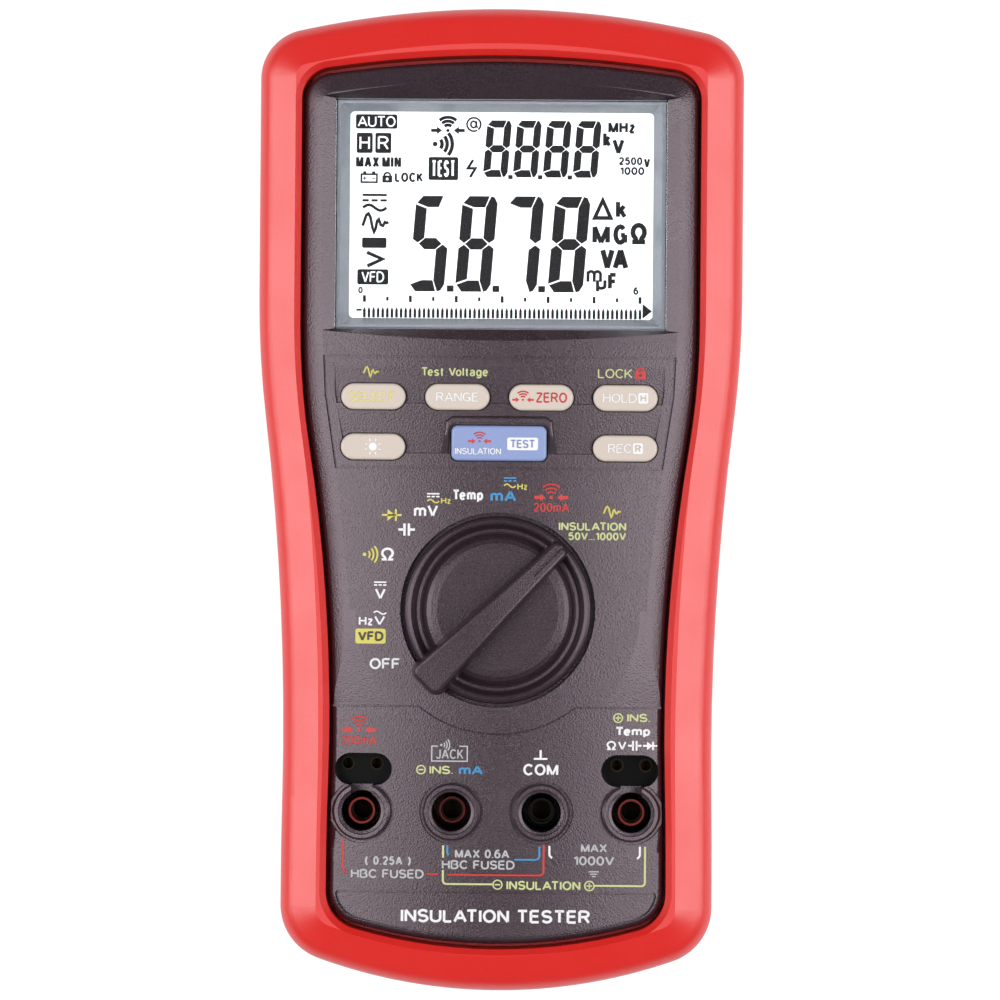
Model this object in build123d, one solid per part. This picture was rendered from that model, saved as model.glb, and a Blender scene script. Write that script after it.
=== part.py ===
from build123d import *
import os
from math import atan2, cos, radians, sin, sqrt

# Handheld insulation resistance tester in a rubber holster.
# The meter lies on its back. +Z points out of its face, +Y towards its display end, +X to the
# user's right. The origin is on the resting plane, under the middle of the object. All sizes are
# in millimetres. Each separate piece of the meter is written as its own STEP file.

os.makedirs("parts", exist_ok=True)

# ---------------------------------------------------------------- driving dimensions
LENGTH = 208.0  # holster, end to end
WIDTH = 102.4  # holster, at the display end
HEIGHT = 64.5  # resting plane to the top of the selector's grip

# heights above the resting plane
HOLSTER_BACK = 10.0
HOLSTER_WALL = 3.0
CASE_BACK = 13.0
CASE_WALL = 2.2
MAIN_BOARD_Z = 33.0
BOARD_THICK = 1.6
REAR_RIM = 34.0
SEAL_THICK = 0.6
FRONT_RIM = REAR_RIM + SEAL_THICK
DISPLAY_BOARD_Z = 43.0
DISPLAY_BOARD_THICK = 1.2
CASE_UNDER = 53.8  # underside of the front case's face
JACK_FACE = 56.0
FACE = 57.0
RIM_TOP = 58.5
RIM_SLOPE = 3.6
KEY_TOP = 58.1

MAIN_BOARD_TOP = MAIN_BOARD_Z + BOARD_THICK
DISPLAY_BOARD_TOP = DISPLAY_BOARD_Z + DISPLAY_BOARD_THICK

# selector
KNOB_Y = -23.3
KNOB_R = 19.8
KNOB_POCKET_R = 20.6
KNOB_FLOOR = 54.0
SHAFT_R = 5.0
SHAFT_SEAL_Z = 48.0
DETENT_STEP = 18.0
POINTER_ANGLE = 45.0  # from +X, at rest on the insulation range
ROTOR_R = 15.0
ROTOR_TOP = 42.5

# keys
KEY_X = (-26.6, -8.85, 8.85, 26.6)
KEY_ROW_1 = 21.6
KEY_ROW_2 = 11.0
KEY_SIZE = (13.6, 5.5)
TEST_Y = 11.9
TEST_SIZE = (20.1, 7.4)
KEY_GAP = 0.25
KEY_FLANGE = 0.9
KEY_FLANGE_TOP = 53.6
KEY_FLANGE_THICK = 1.2
DOME_TOP = 48.4
KEY_TRAVEL = 1.2

# display window
WINDOW = (70.2, 48.7)
WINDOW_Y = 60.3
LENS_TOP = 55.0
LENS_THICK = 1.5
LENS_LEDGE = 0.6
NAMEPLATE_DROP = 0.2
GLASS_AREA = (64.4, 43.8)
GLASS_TOP = 49.8

# input jacks
JACK_X = (-28.5, -9.5, 9.5, 28.5)
JACK_Y = -66.0
JACK_HOLE_R = 4.2
JACK_RING_R = 6.1
CONTACT_BORE_R = 2.0
CONTACT_WALL = 0.35
CONTACT_TOP = 50.0
SLEEVE_R = 2.8
SLEEVE_TOPS = (53.2, 48.0, 50.6, 52.4)
REMOTE_JACKS = (0, 3)  # the jacks that have a remote probe socket above them
REMOTE_DY = 8.9
REMOTE_SIZE = (12.1, 6.8)
REMOTE_DX = 0.35  # the sockets lie this much nearer the middle than their jacks
REMOTE_PIN_DX = 3.05
REMOTE_PIN_DY = 9.9
REMOTE_PIN_R = 1.1
REMOTE_FLOOR = 51.0

SEAM_Y = -43.5
SEAM_ARC_R = 26.0

# cells and fuses
CELL_R = 7.2
CELL_LENGTH = 49.2
CELL_PITCH = 14.8
CELL_Y = 4.0
CELL_Z = 23.05
FUSE_R = 5.0
FUSE_LENGTH = 38.0

CASE_SCREWS = ((36.3, 86.9), (28.6, -47.2), (24.0, -84.0))
DOOR_SCREW = (20.0, -28.6)

# tilt stand and probe clips
HINGE_Y = 38.0
HINGE_Z = 5.5
TRUNNION_R = 1.8
CLIP_X = 36.0
CLIP_Y = (52.0, 78.0)
CLIP_Z = 5.6
CLIP_BORE_R = 5.3
CLIP_MOUTH = 8.0


# ---------------------------------------------------------------- helpers
def save(name, shape):
    """Writes one sub-part. A list becomes one node of separate solids."""
    if isinstance(shape, (list, tuple)):
        shape = Compound(children=[piece.solid() for piece in shape])
    shape.label = name
    export_step(shape, f"parts/{name}.step")


def box(x, y, z):
    """Box between the given (low, high) pairs."""
    size = [pair[1] - pair[0] for pair in (x, y, z)]
    middle = [(pair[1] + pair[0]) / 2 for pair in (x, y, z)]
    return Pos(*middle) * Box(*size)


def tube(x, y, z, radius):
    """Upright cylinder at x, y between the heights in z."""
    return Pos(x, y, (z[0] + z[1]) / 2) * Cylinder(radius, z[1] - z[0])


def slab(face, low, high):
    """A flat outline pulled up between two heights."""
    return Pos(0, 0, low) * extrude(face, amount=high - low)


def stadium(width, height, grow=0.0):
    """Outline with half-round ends, grown by a clearance on every side."""
    return SlotOverall(width + 2 * grow, height + 2 * grow)


def round_box(width, height, radius, grow=0.0):
    """Rectangle with round corners, grown by a clearance on every side."""
    return RectangleRounded(width + 2 * grow, height + 2 * grow, max(radius + grow, 0.3))


def corner_centre(half, end_y, end_r, corner_r, sign):
    """Centre of the corner arc that touches a side line and a bowed end."""
    run = sqrt((end_r - corner_r) ** 2 - (half - corner_r) ** 2)
    return half - corner_r, end_y - sign * (end_r - run)


def bowed_outline(top, foot, waist):
    """Waisted outline, all lines and tangent arcs. top and foot are (half width, end y, end
    radius, corner radius). waist is (half width, y, start y, turning y, finish y)."""
    half_t, y_t, r_t, c_t = top
    half_f, y_f, r_f, c_f = foot
    half_w, y_w, y_a, y_b, y_e = waist
    tx, ty = corner_centre(half_t, y_t, r_t, c_t, 1)
    fx, fy = corner_centre(half_f, y_f, r_f, c_f, -1)
    lean_t = atan2(ty - (y_t - r_t), tx)
    lean_f = atan2(fy - (y_f + r_f), fx)
    top_touch = (r_t * cos(lean_t), y_t - r_t + r_t * sin(lean_t))
    foot_touch = (r_f * cos(lean_f), y_f + r_f + r_f * sin(lean_f))
    top_mid = (tx + c_t * cos(lean_t / 2), ty + c_t * sin(lean_t / 2))
    foot_mid = (fx + c_f * cos(lean_f / 2), fy + c_f * sin(lean_f / 2))

    inward = 2 * atan2(half_t - half_w, y_a - y_w)
    outward = 2 * atan2(half_f - half_w, y_w - y_e)
    hollow_r = (y_b - y_w) / sin(inward)
    turn_in = (half_t - (y_a - y_b) * (1 - cos(inward)) / sin(inward), y_b)
    turn_out = (half_w + hollow_r * (1 - cos(outward)), y_w - hollow_r * sin(outward))

    edges = [
        ThreePointArc((-top_touch[0], top_touch[1]), (0, y_t), top_touch),
        ThreePointArc(foot_touch, (0, y_f), (-foot_touch[0], foot_touch[1])),
    ]
    for sign in (1, -1):
        flip = [(sign * x, y) for x, y in (top_touch, top_mid, (half_t, ty), (half_t, y_a))]
        flop = [(sign * x, y) for x, y in ((half_f, y_e), (half_f, fy), foot_mid, foot_touch)]
        in_turn, out_turn = (sign * turn_in[0], y_b), (sign * turn_out[0], turn_out[1])
        edges.append(ThreePointArc(*flip[:3]))
        edges.append(Line(flip[2], flip[3]))
        edges.append(TangentArc(flip[3], in_turn, tangent=(0, -1)))
        edges.append(TangentArc(in_turn, out_turn, tangent=(-sign * sin(inward), -cos(inward))))
        edges.append(TangentArc(out_turn, flop[0], tangent=(sign * sin(outward), -cos(outward))))
        edges.append(Line(flop[0], flop[1]))
        edges.append(ThreePointArc(*flop[1:]))
    return make_face(edges)


def on_both_sides(places):
    """The places, and their mirror images across the meter's centre line."""
    return [(sign * x, y) for x, y in places for sign in (1, -1)]


# ---------------------------------------------------------------- outlines
holster_outline = bowed_outline(
    (WIDTH / 2, LENGTH / 2, 195.0, 10.5), (45.7, -LENGTH / 2, 112.0, 12.0), (45.4, -52.0, 43.0, 17.0, -82.0)
)
case_outline = bowed_outline(
    (41.6, 92.6, 245.0, 6.0), (35.3, -93.9, 110.0, 7.5), (34.8, -48.0, 37.0, 11.0, -82.0)
)
mouth_outline = bowed_outline(
    (42.2, 93.8, 245.0, 6.6), (35.9, -94.9, 110.0, 8.1), (35.4, -48.0, 37.0, 11.0, -82.0)
)
KNOB = Pos(0, KNOB_Y)
upper_area = Pos(0, SEAM_Y + 75) * Rectangle(120, 150) + KNOB * Circle(SEAM_ARC_R)


# ---------------------------------------------------------------- rubber holster
def make_holster():
    """Soft rubber jacket: fat rim, back wall, probe clips, hinge lugs and heel."""
    body = slab(holster_outline, HOLSTER_BACK, RIM_TOP)
    rim_face = body.faces().sort_by(Axis.Z)[-1]
    body = chamfer(rim_face.edges(), 7.8, RIM_SLOPE, reference=rim_face)
    body = fillet(edges_at(body, RIM_TOP - RIM_SLOPE), 5.0)
    body = fillet(edges_at(body, HOLSTER_BACK), 6.0)
    body -= slab(mouth_outline, 48.0, RIM_TOP + 1)
    body -= rim_bevel()
    body -= slab(offset(case_outline, 0.25), HOLSTER_BACK + HOLSTER_WALL, 48.5)
    for sign in (1, -1):
        body += probe_clip_block(sign)
        body += hinge_lug(sign)
    body += heel_block()
    for sign in (1, -1):
        body -= probe_channel(sign)
        body -= trunnion_hole(sign)
    return body


def edges_at(shape, height):
    """Edges of a shape that lie at one height."""
    return shape.edges().filter_by_position(Axis.Z, height - 0.01, height + 0.01)


def rim_bevel():
    """Inward-facing slope at the holster's mouth, wider at the display end."""
    low = Pos(0, 0, RIM_TOP - 1.3) * mouth_outline
    high = Pos(0, 0, RIM_TOP + 0.02) * offset(mouth_outline, 1.25)
    return loft([low, high], ruled=True)


def probe_clip_block(sign):
    """Raised block that the probe channel is cut through."""
    block = box((-8, 8), CLIP_Y, (0, HOLSTER_BACK + 1.0))
    block = fillet(block.edges().filter_by(Axis.Y).group_by(Axis.Z)[0], 2.2)
    return Pos(sign * CLIP_X, 0, 0) * block


def probe_channel(sign):
    """Round channel for a probe barrel, with its snap-in mouth and a relief slot."""
    length = CLIP_Y[1] - CLIP_Y[0] + 4
    middle = (CLIP_Y[0] + CLIP_Y[1]) / 2
    bore = Pos(sign * CLIP_X, middle, CLIP_Z) * Rot(90, 0, 0) * Cylinder(CLIP_BORE_R, length)
    mouth = box(
        (sign * CLIP_X - CLIP_MOUTH / 2, sign * CLIP_X + CLIP_MOUTH / 2),
        (middle - length / 2, middle + length / 2),
        (-1, CLIP_Z),
    )
    relief = box(
        (sign * CLIP_X - 9, sign * CLIP_X + 9), (middle - 2, middle + 2), (-1, HOLSTER_BACK)
    )
    return bore + mouth + relief


def hinge_lug(sign):
    """Ear that carries one end of the tilt stand."""
    ear = box((26.4, 31.4), (HINGE_Y - 4.5, HINGE_Y + 4.5), (1.2, HOLSTER_BACK + 1.0))
    ear = fillet(ear.edges().filter_by(Axis.X).group_by(Axis.Z)[0], 3.5)
    return ear if sign > 0 else mirror(ear, Plane.YZ)


def trunnion_hole(sign):
    """Bearing hole for a trunnion of the stand."""
    return Pos(sign * 28.4, HINGE_Y, HINGE_Z) * Rot(0, 90, 0) * Cylinder(TRUNNION_R + 0.06, 4.2)


def heel_block():
    """Foot under the jack end, level with the probe clips, with grip grooves."""
    heel = slab(Pos(0, -84.5) * RectangleRounded(70, 13, 5), 0, HOLSTER_BACK + 1)
    heel = fillet(edges_at(heel, 0), 1.5)
    for step in range(-3, 4):
        heel -= box((step * 8 - 0.8, step * 8 + 0.8), (-99, -81), (-1, 0.8))
    return heel


# ---------------------------------------------------------------- tilt stand
def make_stand():
    """Hinged prop frame with a hanging window and two trunnions."""
    plate = box((-30, 30), (-72, 30), (HINGE_Z - 2, HINGE_Z + 2))
    plate += box((-25.6, 25.6), (29, HINGE_Y), (HINGE_Z - 2, HINGE_Z + 2))
    plate = fillet(plate.edges().filter_by(Axis.Z).group_by(Axis.Y)[0], 7)
    plate -= slab(Pos(0, -20) * round_box(38, 72, 5), 0, 10)
    plate = chamfer(plate.edges().group_by(Axis.Z)[0], 0.7)
    barrel = Pos(0, HINGE_Y, HINGE_Z) * Rot(0, 90, 0) * Cylinder(3.0, 51.2)
    trunnions = Pos(0, HINGE_Y, HINGE_Z) * Rot(0, 90, 0) * Cylinder(TRUNNION_R, 59.6)
    stand = plate + barrel + trunnions
    for step in range(5):
        y = -68.5 + 2.4 * step
        stand -= box((-16, 16), (y - 0.5, y + 0.5), (HINGE_Z + 1.5, HINGE_Z + 3))
    return stand


def make_stand_pads():
    """Two rubber pads under the free end of the stand."""
    pads = []
    for sign in (1, -1):
        pad = slab(Pos(sign * 21.5, -66) * round_box(9, 6, 2), 1.9, HINGE_Z - 2)
        pads.append(fillet(pad.edges().group_by(Axis.Z)[0], 0.5))
    return pads


# ---------------------------------------------------------------- front case
def window_recess():
    """Sloped surround of the display: straight at the glass, bowed where it meets the face."""
    half_w = WINDOW[0] / 2
    low_y = WINDOW_Y - WINDOW[1] / 2
    high_y = WINDOW_Y + WINDOW[1] / 2
    glass = make_face(Polyline(
        (-half_w, low_y), (half_w, low_y), (half_w, high_y), (-half_w, high_y), close=True
    ))
    wide = half_w + 2.8
    foot = ThreePointArc((-wide, low_y - 0.4), (0, low_y - 2.4), (wide, low_y - 0.4))
    crown = ThreePointArc((wide, high_y + 0.4), (0, high_y + 3.9), (-wide, high_y + 0.4))
    sides = [Line(foot @ 1, crown @ 0), Line(crown @ 1, foot @ 0)]
    face = make_face([foot, sides[0], crown, sides[1]])
    return loft([Pos(0, 0, LENS_TOP) * glass, Pos(0, 0, FACE + 0.02) * face], ruled=True)


def key_places():
    """Name and place of each key."""
    names_1 = ("select_key", "range_key", "zero_key", "hold_key")
    keys = [(name, (x, KEY_ROW_1)) for name, x in zip(names_1, KEY_X)]
    keys.append(("backlight_key", (KEY_X[0], KEY_ROW_2)))
    keys.append(("record_key", (KEY_X[3], KEY_ROW_2)))
    keys.append(("test_button", (0, TEST_Y)))
    return keys


def key_outline(name, grow):
    """Outline of a key, grown by a clearance."""
    if name == "test_button":
        return round_box(*TEST_SIZE, 1.3, grow)
    return stadium(*KEY_SIZE, grow)


def keypad_panel(inset=0.0):
    """Outline of the keypad's panel, wider at its top."""
    top, kink, foot = 37.3 - inset, 36.9 - inset, 34.6 - inset
    points = [(top, 30.3 - inset), (kink, 21.9), (foot, 6.4 + inset)]
    return make_face(Polyline(*points, *[(-x, y) for x, y in reversed(points)], close=True))


def keypad_scallops():
    """Two shallow steps across the keypad, each deepest at its lower edge."""
    cut = None
    for high, low in ((29.2, 20.3), (19.6, 9.8)):
        profile = make_face(Polyline(
            (high, FACE), (low, FACE - 0.75), (low - 0.15, FACE + 0.1), (high, FACE + 0.1), close=True
        ))
        wedge = extrude(Plane.YZ * profile, amount=34.8, both=True)
        cut = wedge if cut is None else cut + wedge
    return cut & slab(keypad_panel(2.2), FACE - 2, FACE + 1)


def test_guard():
    """Raised brow round the top and sides of the test button."""
    outer = make_face(Polyline(
        (-12.6, 6.8), (12.6, 6.8), (11.3, 16.6), (9.9, 17.6), (-9.9, 17.6), (-11.3, 16.6), close=True
    ))
    rise = 0.9
    brow = slab(outer, FACE - 1.4, FACE + rise)
    brow = fillet(brow.edges().group_by(Axis.Z)[-1], 0.6)
    profile = make_face(Polyline(
        (5.0, FACE - 1.5), (18.5, FACE - 1.5), (18.5, FACE + 1.5), (14.0, FACE + 1.0), (6.9, FACE - 0.8),
        (5.0, FACE - 0.8),
        close=True,
    ))
    ramp = extrude(Plane.YZ * profile, amount=20, both=True)
    return (brow & ramp) - slab(Pos(0, TEST_Y) * key_outline("test_button", 0.7), FACE - 3, FACE + 3)


def jack_ring(x, sunk):
    """Raised collar of a jack, with the fine groove round it."""
    profile = make_face(Polyline(
        (JACK_HOLE_R, JACK_FACE - 2.0), (JACK_RING_R, JACK_FACE - 2.0), (JACK_RING_R, JACK_FACE + 0.5),
        (JACK_RING_R - 0.45, JACK_FACE + 0.9), (JACK_HOLE_R + 0.75, JACK_FACE + 0.9),
        (JACK_HOLE_R + 0.6, JACK_FACE + 0.45), (JACK_HOLE_R, JACK_FACE + 0.3),
        close=True,
    ))
    ring = revolve(Plane.XZ * profile, Axis.Z)
    return Pos(x, JACK_Y, -sunk) * ring


def make_front_case():
    """Upper shell: face, bevels, window, keypad, selector well and jack panel."""
    upper = slab(case_outline, FRONT_RIM, FACE)
    top_face = upper.faces().sort_by(Axis.Z)[-1]
    upper = chamfer(top_face.edges(), 4.2, 1.3, reference=top_face)
    upper = fillet(edges_at(upper, FACE - 1.3), 1.2)
    upper &= slab(upper_area, FRONT_RIM, FACE + 1)
    shield = make_face(Polyline(
        (30.0, FACE), (46.0, FACE - 2.2), (46.0, FACE + 2), (30.0, FACE + 2), close=True
    ))
    shield = Pos(0, KNOB_Y, 0) * revolve(Plane.XZ * shield, Axis.Z)
    upper -= shield & box((-60, 60), (-80, KNOB_Y), (40, 70))
    lower = slab(case_outline, FRONT_RIM, JACK_FACE)
    lower = fillet(edges_at(lower, JACK_FACE), 1.3)
    seam = slab(offset(upper_area, 0.45), JACK_FACE - 0.8, FACE + 2)
    case = (lower - seam) + (upper & slab(upper_area, 40, FACE + 1))
    case += lower & slab(upper_area, FRONT_RIM, JACK_FACE - 2)
    case += lower & slab(Rectangle(200, 300), FRONT_RIM, JACK_FACE - 2.0)
    nameplate = offset(case_outline, -1.3) & Pos(0, -82.7 - 10) * Rectangle(120, 20)
    nameplate = fillet(nameplate.vertices().group_by(Axis.Y)[-1], 0.8)
    case -= slab(nameplate, JACK_FACE - NAMEPLATE_DROP, JACK_FACE + 1)
    case -= slab(nameplate - offset(nameplate, -0.5), JACK_FACE - NAMEPLATE_DROP - 0.6, JACK_FACE)

    cavity = slab(offset(case_outline, -CASE_WALL), FRONT_RIM - 1, CASE_UNDER)
    case -= cavity

    # display window: walls round the lens, a ledge for it, and the opening
    frame = slab(Pos(0, WINDOW_Y) * Rectangle(WINDOW[0] + 3.2, WINDOW[1] + 3.2), 52.9, CASE_UNDER + 0.5)
    case += frame & slab(offset(case_outline, -1.0), 50, 60)
    case -= window_recess()
    case -= slab(Pos(0, WINDOW_Y) * Rectangle(*WINDOW), LENS_TOP - LENS_THICK, FACE)
    case -= slab(Pos(0, WINDOW_Y) * Rectangle(WINDOW[0] - LENS_LEDGE, WINDOW[1] - LENS_LEDGE), 50, FACE)

    # keypad
    groove = keypad_panel() - keypad_panel(0.5)
    case -= slab(groove, FACE - 0.6, FACE + 1)
    case -= keypad_scallops()
    case += test_guard()
    for name, place in key_places():
        case -= slab(Pos(*place) * key_outline(name, KEY_GAP), CASE_UNDER - 1, FACE + 3)

    # selector well and its bearing
    case += tube(0, KNOB_Y, (51.8, CASE_UNDER + 0.5), KNOB_POCKET_R + 1.6)
    case += tube(0, KNOB_Y, (44.0, 52.0), 7.4)
    case -= tube(0, KNOB_Y, (KNOB_FLOOR, 60), KNOB_POCKET_R)
    case -= tube(0, KNOB_Y, (40, 60), SHAFT_R + 0.08)
    case -= tube(0, KNOB_Y, (SHAFT_SEAL_Z - 0.9, SHAFT_SEAL_Z + 0.9), SHAFT_R + 1.7)

    # jack shrouds, collars and remote probe sockets
    for index, x in enumerate(JACK_X):
        case += tube(x, JACK_Y, (36.4, CASE_UNDER + 0.5), 5.6)
        case += jack_ring(x, 0)
        case -= tube(x, JACK_Y, (30, 60), JACK_HOLE_R)
        groove_ring = Circle(JACK_RING_R + 0.65) - Circle(JACK_RING_R + 0.12)
        case -= slab(Pos(x, JACK_Y) * groove_ring, JACK_FACE - 0.6, JACK_FACE + 0.01)
        if index in REMOTE_JACKS:
            place = remote_place(x)
            wall = slab(place * stadium(*REMOTE_SIZE, 1.2), 45.5, CASE_UNDER + 0.5)
            case += wall & slab(offset(case_outline, -0.3), 40, 60)
            case -= slab(place * stadium(*REMOTE_SIZE), 45.0, JACK_FACE + 2)
            neck = Pos(x, JACK_Y + JACK_HOLE_R + 0.8) * Rectangle(4.4, 4.6)
            case -= slab(neck, REMOTE_FLOOR, JACK_FACE + 2)

    # screw bosses
    for x, y in on_both_sides(CASE_SCREWS):
        case += tube(x, y, (MAIN_BOARD_TOP, CASE_UNDER + 0.5), 2.4)
        case -= tube(x, y, (30, 48), 1.2)
    return case


def remote_place(x):
    """Middle of the remote probe socket that belongs to the jack at x."""
    return Pos(x - (REMOTE_DX if x > 0 else -REMOTE_DX), JACK_Y + REMOTE_DY)


def make_remote_inserts():
    """Black insulating blocks in the two remote probe sockets."""
    blocks = []
    for index in REMOTE_JACKS:
        x = JACK_X[index]
        block = slab(remote_place(x) * stadium(*REMOTE_SIZE, -0.03), 45.2, REMOTE_FLOOR)
        for sign in (1, -1):
            block -= tube(x + sign * REMOTE_PIN_DX, JACK_Y + REMOTE_PIN_DY, (40, 60), REMOTE_PIN_R + 0.36)
        blocks.append(block)
    return blocks


def make_remote_contacts():
    """Four small turned tubes, two in each remote probe socket."""
    pins = []
    for index in REMOTE_JACKS:
        for sign in (1, -1):
            x = JACK_X[index] + sign * REMOTE_PIN_DX
            y = JACK_Y + REMOTE_PIN_DY
            pin = tube(x, y, (45.2, REMOTE_FLOOR + 0.25), REMOTE_PIN_R + 0.35)
            pins.append(pin - tube(x, y, (46.2, 60), REMOTE_PIN_R))
    return pins


# ---------------------------------------------------------------- jacks
def make_jack_contacts():
    """Four turned brass sockets for 4 mm plugs, standing on the main board."""
    contacts = []
    for x in JACK_X:
        outer = CONTACT_BORE_R + CONTACT_WALL
        socket = tube(x, JACK_Y, (MAIN_BOARD_TOP, 46.0), outer)
        socket += tube(x, JACK_Y, (MAIN_BOARD_TOP - BOARD_THICK - 1.0, MAIN_BOARD_TOP), 0.9)
        socket -= tube(x, JACK_Y, (MAIN_BOARD_TOP + 1.4, 60), CONTACT_BORE_R)
        contacts.append(socket)
    return contacts


def make_sleeve(index):
    """Coloured insulating sleeve round a jack contact."""
    x = JACK_X[index]
    sleeve = tube(x, JACK_Y, (MAIN_BOARD_TOP + 0.05, SLEEVE_TOPS[index]), SLEEVE_R)
    sleeve += tube(x, JACK_Y, (MAIN_BOARD_TOP + 0.05, 36.2), 3.9)
    sleeve -= tube(x, JACK_Y, (30, 60), CONTACT_BORE_R + CONTACT_WALL + 0.02)
    return sleeve


# ---------------------------------------------------------------- rear case
BAY_X = 30.2
BAY_Y = (-23.0, 31.0)
BAY_TOP = 31.0


def door_outline(grow=0.0):
    """Outline of the battery door."""
    low, high = -32.6, BAY_Y[1] + 1.6
    return Pos(0, (low + high) / 2) * round_box(62.0, high - low, 3.0, grow)


def make_rear_case():
    """Lower shell with the battery bay, its door opening and the screw bosses."""
    case = slab(case_outline, CASE_BACK, REAR_RIM)
    case = fillet(case.edges().group_by(Axis.Z)[0], 3.0)
    case -= slab(offset(case_outline, -CASE_WALL), CASE_BACK + CASE_WALL, REAR_RIM + 1)
    case += box((-BAY_X - 1.5, BAY_X + 1.5), (BAY_Y[0] - 1.5, BAY_Y[1] + 1.5), (CASE_BACK + 1, BAY_TOP + 1.2))
    case += box((-33, 33), (-34.6, BAY_Y[0] - 1), (CASE_BACK + 1, CASE_BACK + CASE_WALL + 1.6))
    case -= box((-BAY_X, BAY_X), BAY_Y, (0, BAY_TOP))
    for sign in (1, -1):
        x = sign * DOOR_SCREW[0]
        case += tube(x, DOOR_SCREW[1], (CASE_BACK + 1, 26), 3.2)
        case += box((x - 2, x + 2), (DOOR_SCREW[1], BAY_Y[0] - 1), (CASE_BACK + 1, 26))
    case -= slab(door_outline(0.15), CASE_BACK - 1, CASE_BACK + CASE_WALL)
    for sign in (1, -1):
        case -= tube(sign * DOOR_SCREW[0], DOOR_SCREW[1], (10, 24), 1.25)
    for x, y in on_both_sides(CASE_SCREWS):
        case += tube(x, y, (CASE_BACK + 1, MAIN_BOARD_Z), 2.9)
        case -= tube(x, y, (10, 27.0), 2.3)
        case -= tube(x, y, (10, 40), 1.4)
    return case


def make_door():
    """Battery door: a plate that drops into the rear case, held by two screws."""
    door = slab(door_outline(), CASE_BACK, CASE_BACK + CASE_WALL - 0.05)
    for step in range(-4, 5):
        door -= box((step * 4 - 0.6, step * 4 + 0.6), (20, 28), (CASE_BACK - 1, CASE_BACK + 0.5))
    for sign in (1, -1):
        x = sign * DOOR_SCREW[0]
        door -= tube(x, DOOR_SCREW[1], (0, 20), 1.6)
        door -= tube(x, DOOR_SCREW[1], (0, CASE_BACK + 1.1), 2.9)
    return door


def slotted_screw(x, y, head_z, head_r, head_h, shank_r, length):
    """Pan head screw driven upwards from below, with a cross slot."""
    screw = tube(x, y, (head_z, head_z + head_h), head_r)
    screw += tube(x, y, (head_z + head_h, head_z + head_h + length), shank_r)
    slot = Box(head_r * 1.5, 0.6, 1.0) + Box(0.6, head_r * 1.5, 1.0)
    return screw - Pos(x, y, head_z) * slot


def make_case_screws():
    """Six long screws that clamp both shells and the main board."""
    return [slotted_screw(x, y, 25.5, 2.1, 1.5, 1.1, 20.0) for x, y in on_both_sides(CASE_SCREWS)]


def make_door_screws():
    """Two short screws of the battery door."""
    x, y = DOOR_SCREW
    return [slotted_screw(sign * x, y, CASE_BACK + 0.1, 2.7, 1.0, 1.15, 8.0) for sign in (1, -1)]


def make_seal():
    """Rubber gasket between the shells."""
    ring = offset(case_outline, -0.5) - offset(case_outline, -1.8)
    return slab(ring, REAR_RIM, FRONT_RIM)


# ---------------------------------------------------------------- cells
def cell_places():
    """Centre and direction of each cell; they lie side by side, head to tail."""
    return [((step - 1.5) * CELL_PITCH, 1 if step % 2 else -1) for step in range(4)]


def make_cells():
    """Four round cells, each a can with a raised button at its positive end."""
    cells = []
    for x, way in cell_places():
        can = Cylinder(CELL_R, CELL_LENGTH)
        can = fillet(can.edges(), 0.6)
        button = Pos(0, 0, CELL_LENGTH / 2 + 0.5) * Cylinder(2.7, 1.2)
        cells.append(Pos(x, CELL_Y, CELL_Z) * Rot(-90 * way, 0, 0) * (can + button))
    return cells


def make_battery_springs():
    """Coil contacts at the cells' flat ends."""
    springs = []
    gap = (BAY_Y[1] - BAY_Y[0] - CELL_LENGTH) / 2
    wire = 0.25
    for x, way in cell_places():
        path = Helix(0.7, gap - 2 * wire - 0.04, 2.6)
        section = Plane(origin=path @ 0, z_dir=path % 0) * Circle(wire)
        coil = sweep(section, path=path, is_frenet=True)
        end = CELL_Y - way * (CELL_LENGTH / 2 + wire + 0.02)
        springs.append(Pos(x, end, CELL_Z) * Rot(90 * way, 0, 0) * coil)
    return springs


def make_battery_plates():
    """Sprung plates at the cells' button ends."""
    plates = []
    wall = (BAY_Y[1] - BAY_Y[0]) / 2
    for x, way in cell_places():
        plate = Pos(0, wall - 0.2, 0) * Box(9, 0.4, 9)
        bump = Pos(0, wall - 0.8, 0) * Rot(90, 0, 0) * Cylinder(2.0, 0.8)
        turn = 0 if way > 0 else 180
        plates.append(Pos(x, CELL_Y, CELL_Z) * Rot(0, 0, turn) * (plate + bump))
    return plates


# ---------------------------------------------------------------- boards and parts on them
def make_main_board():
    """Main circuit board, clamped between the shells."""
    board = slab(offset(case_outline, -CASE_WALL - 0.4), MAIN_BOARD_Z, MAIN_BOARD_TOP)
    for x, y in on_both_sides(CASE_SCREWS):
        board -= tube(x, y, (30, 40), 1.5)
    for x in JACK_X:
        board -= tube(x, JACK_Y, (30, 40), 0.95)
    return board


def make_display_board():
    """Upper board behind the display and the keypad."""
    board = slab(Pos(0, 43.4) * Rectangle(70.4, 79.6), DISPLAY_BOARD_Z, DISPLAY_BOARD_TOP)
    for x, y in spacer_places():
        board -= tube(x, y, (40, 50), 1.1)
    return board


def spacer_places():
    """Where the spacers between the boards stand."""
    return on_both_sides(((30.5, 80.0), (30.5, 32.2)))


def make_spacers():
    """Four posts that carry the display board."""
    posts = []
    for x, y in spacer_places():
        post = tube(x, y, (MAIN_BOARD_TOP, DISPLAY_BOARD_Z), 2.4)
        posts.append(post + tube(x, y, (DISPLAY_BOARD_Z, DISPLAY_BOARD_TOP), 1.05))
    return posts


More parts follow.
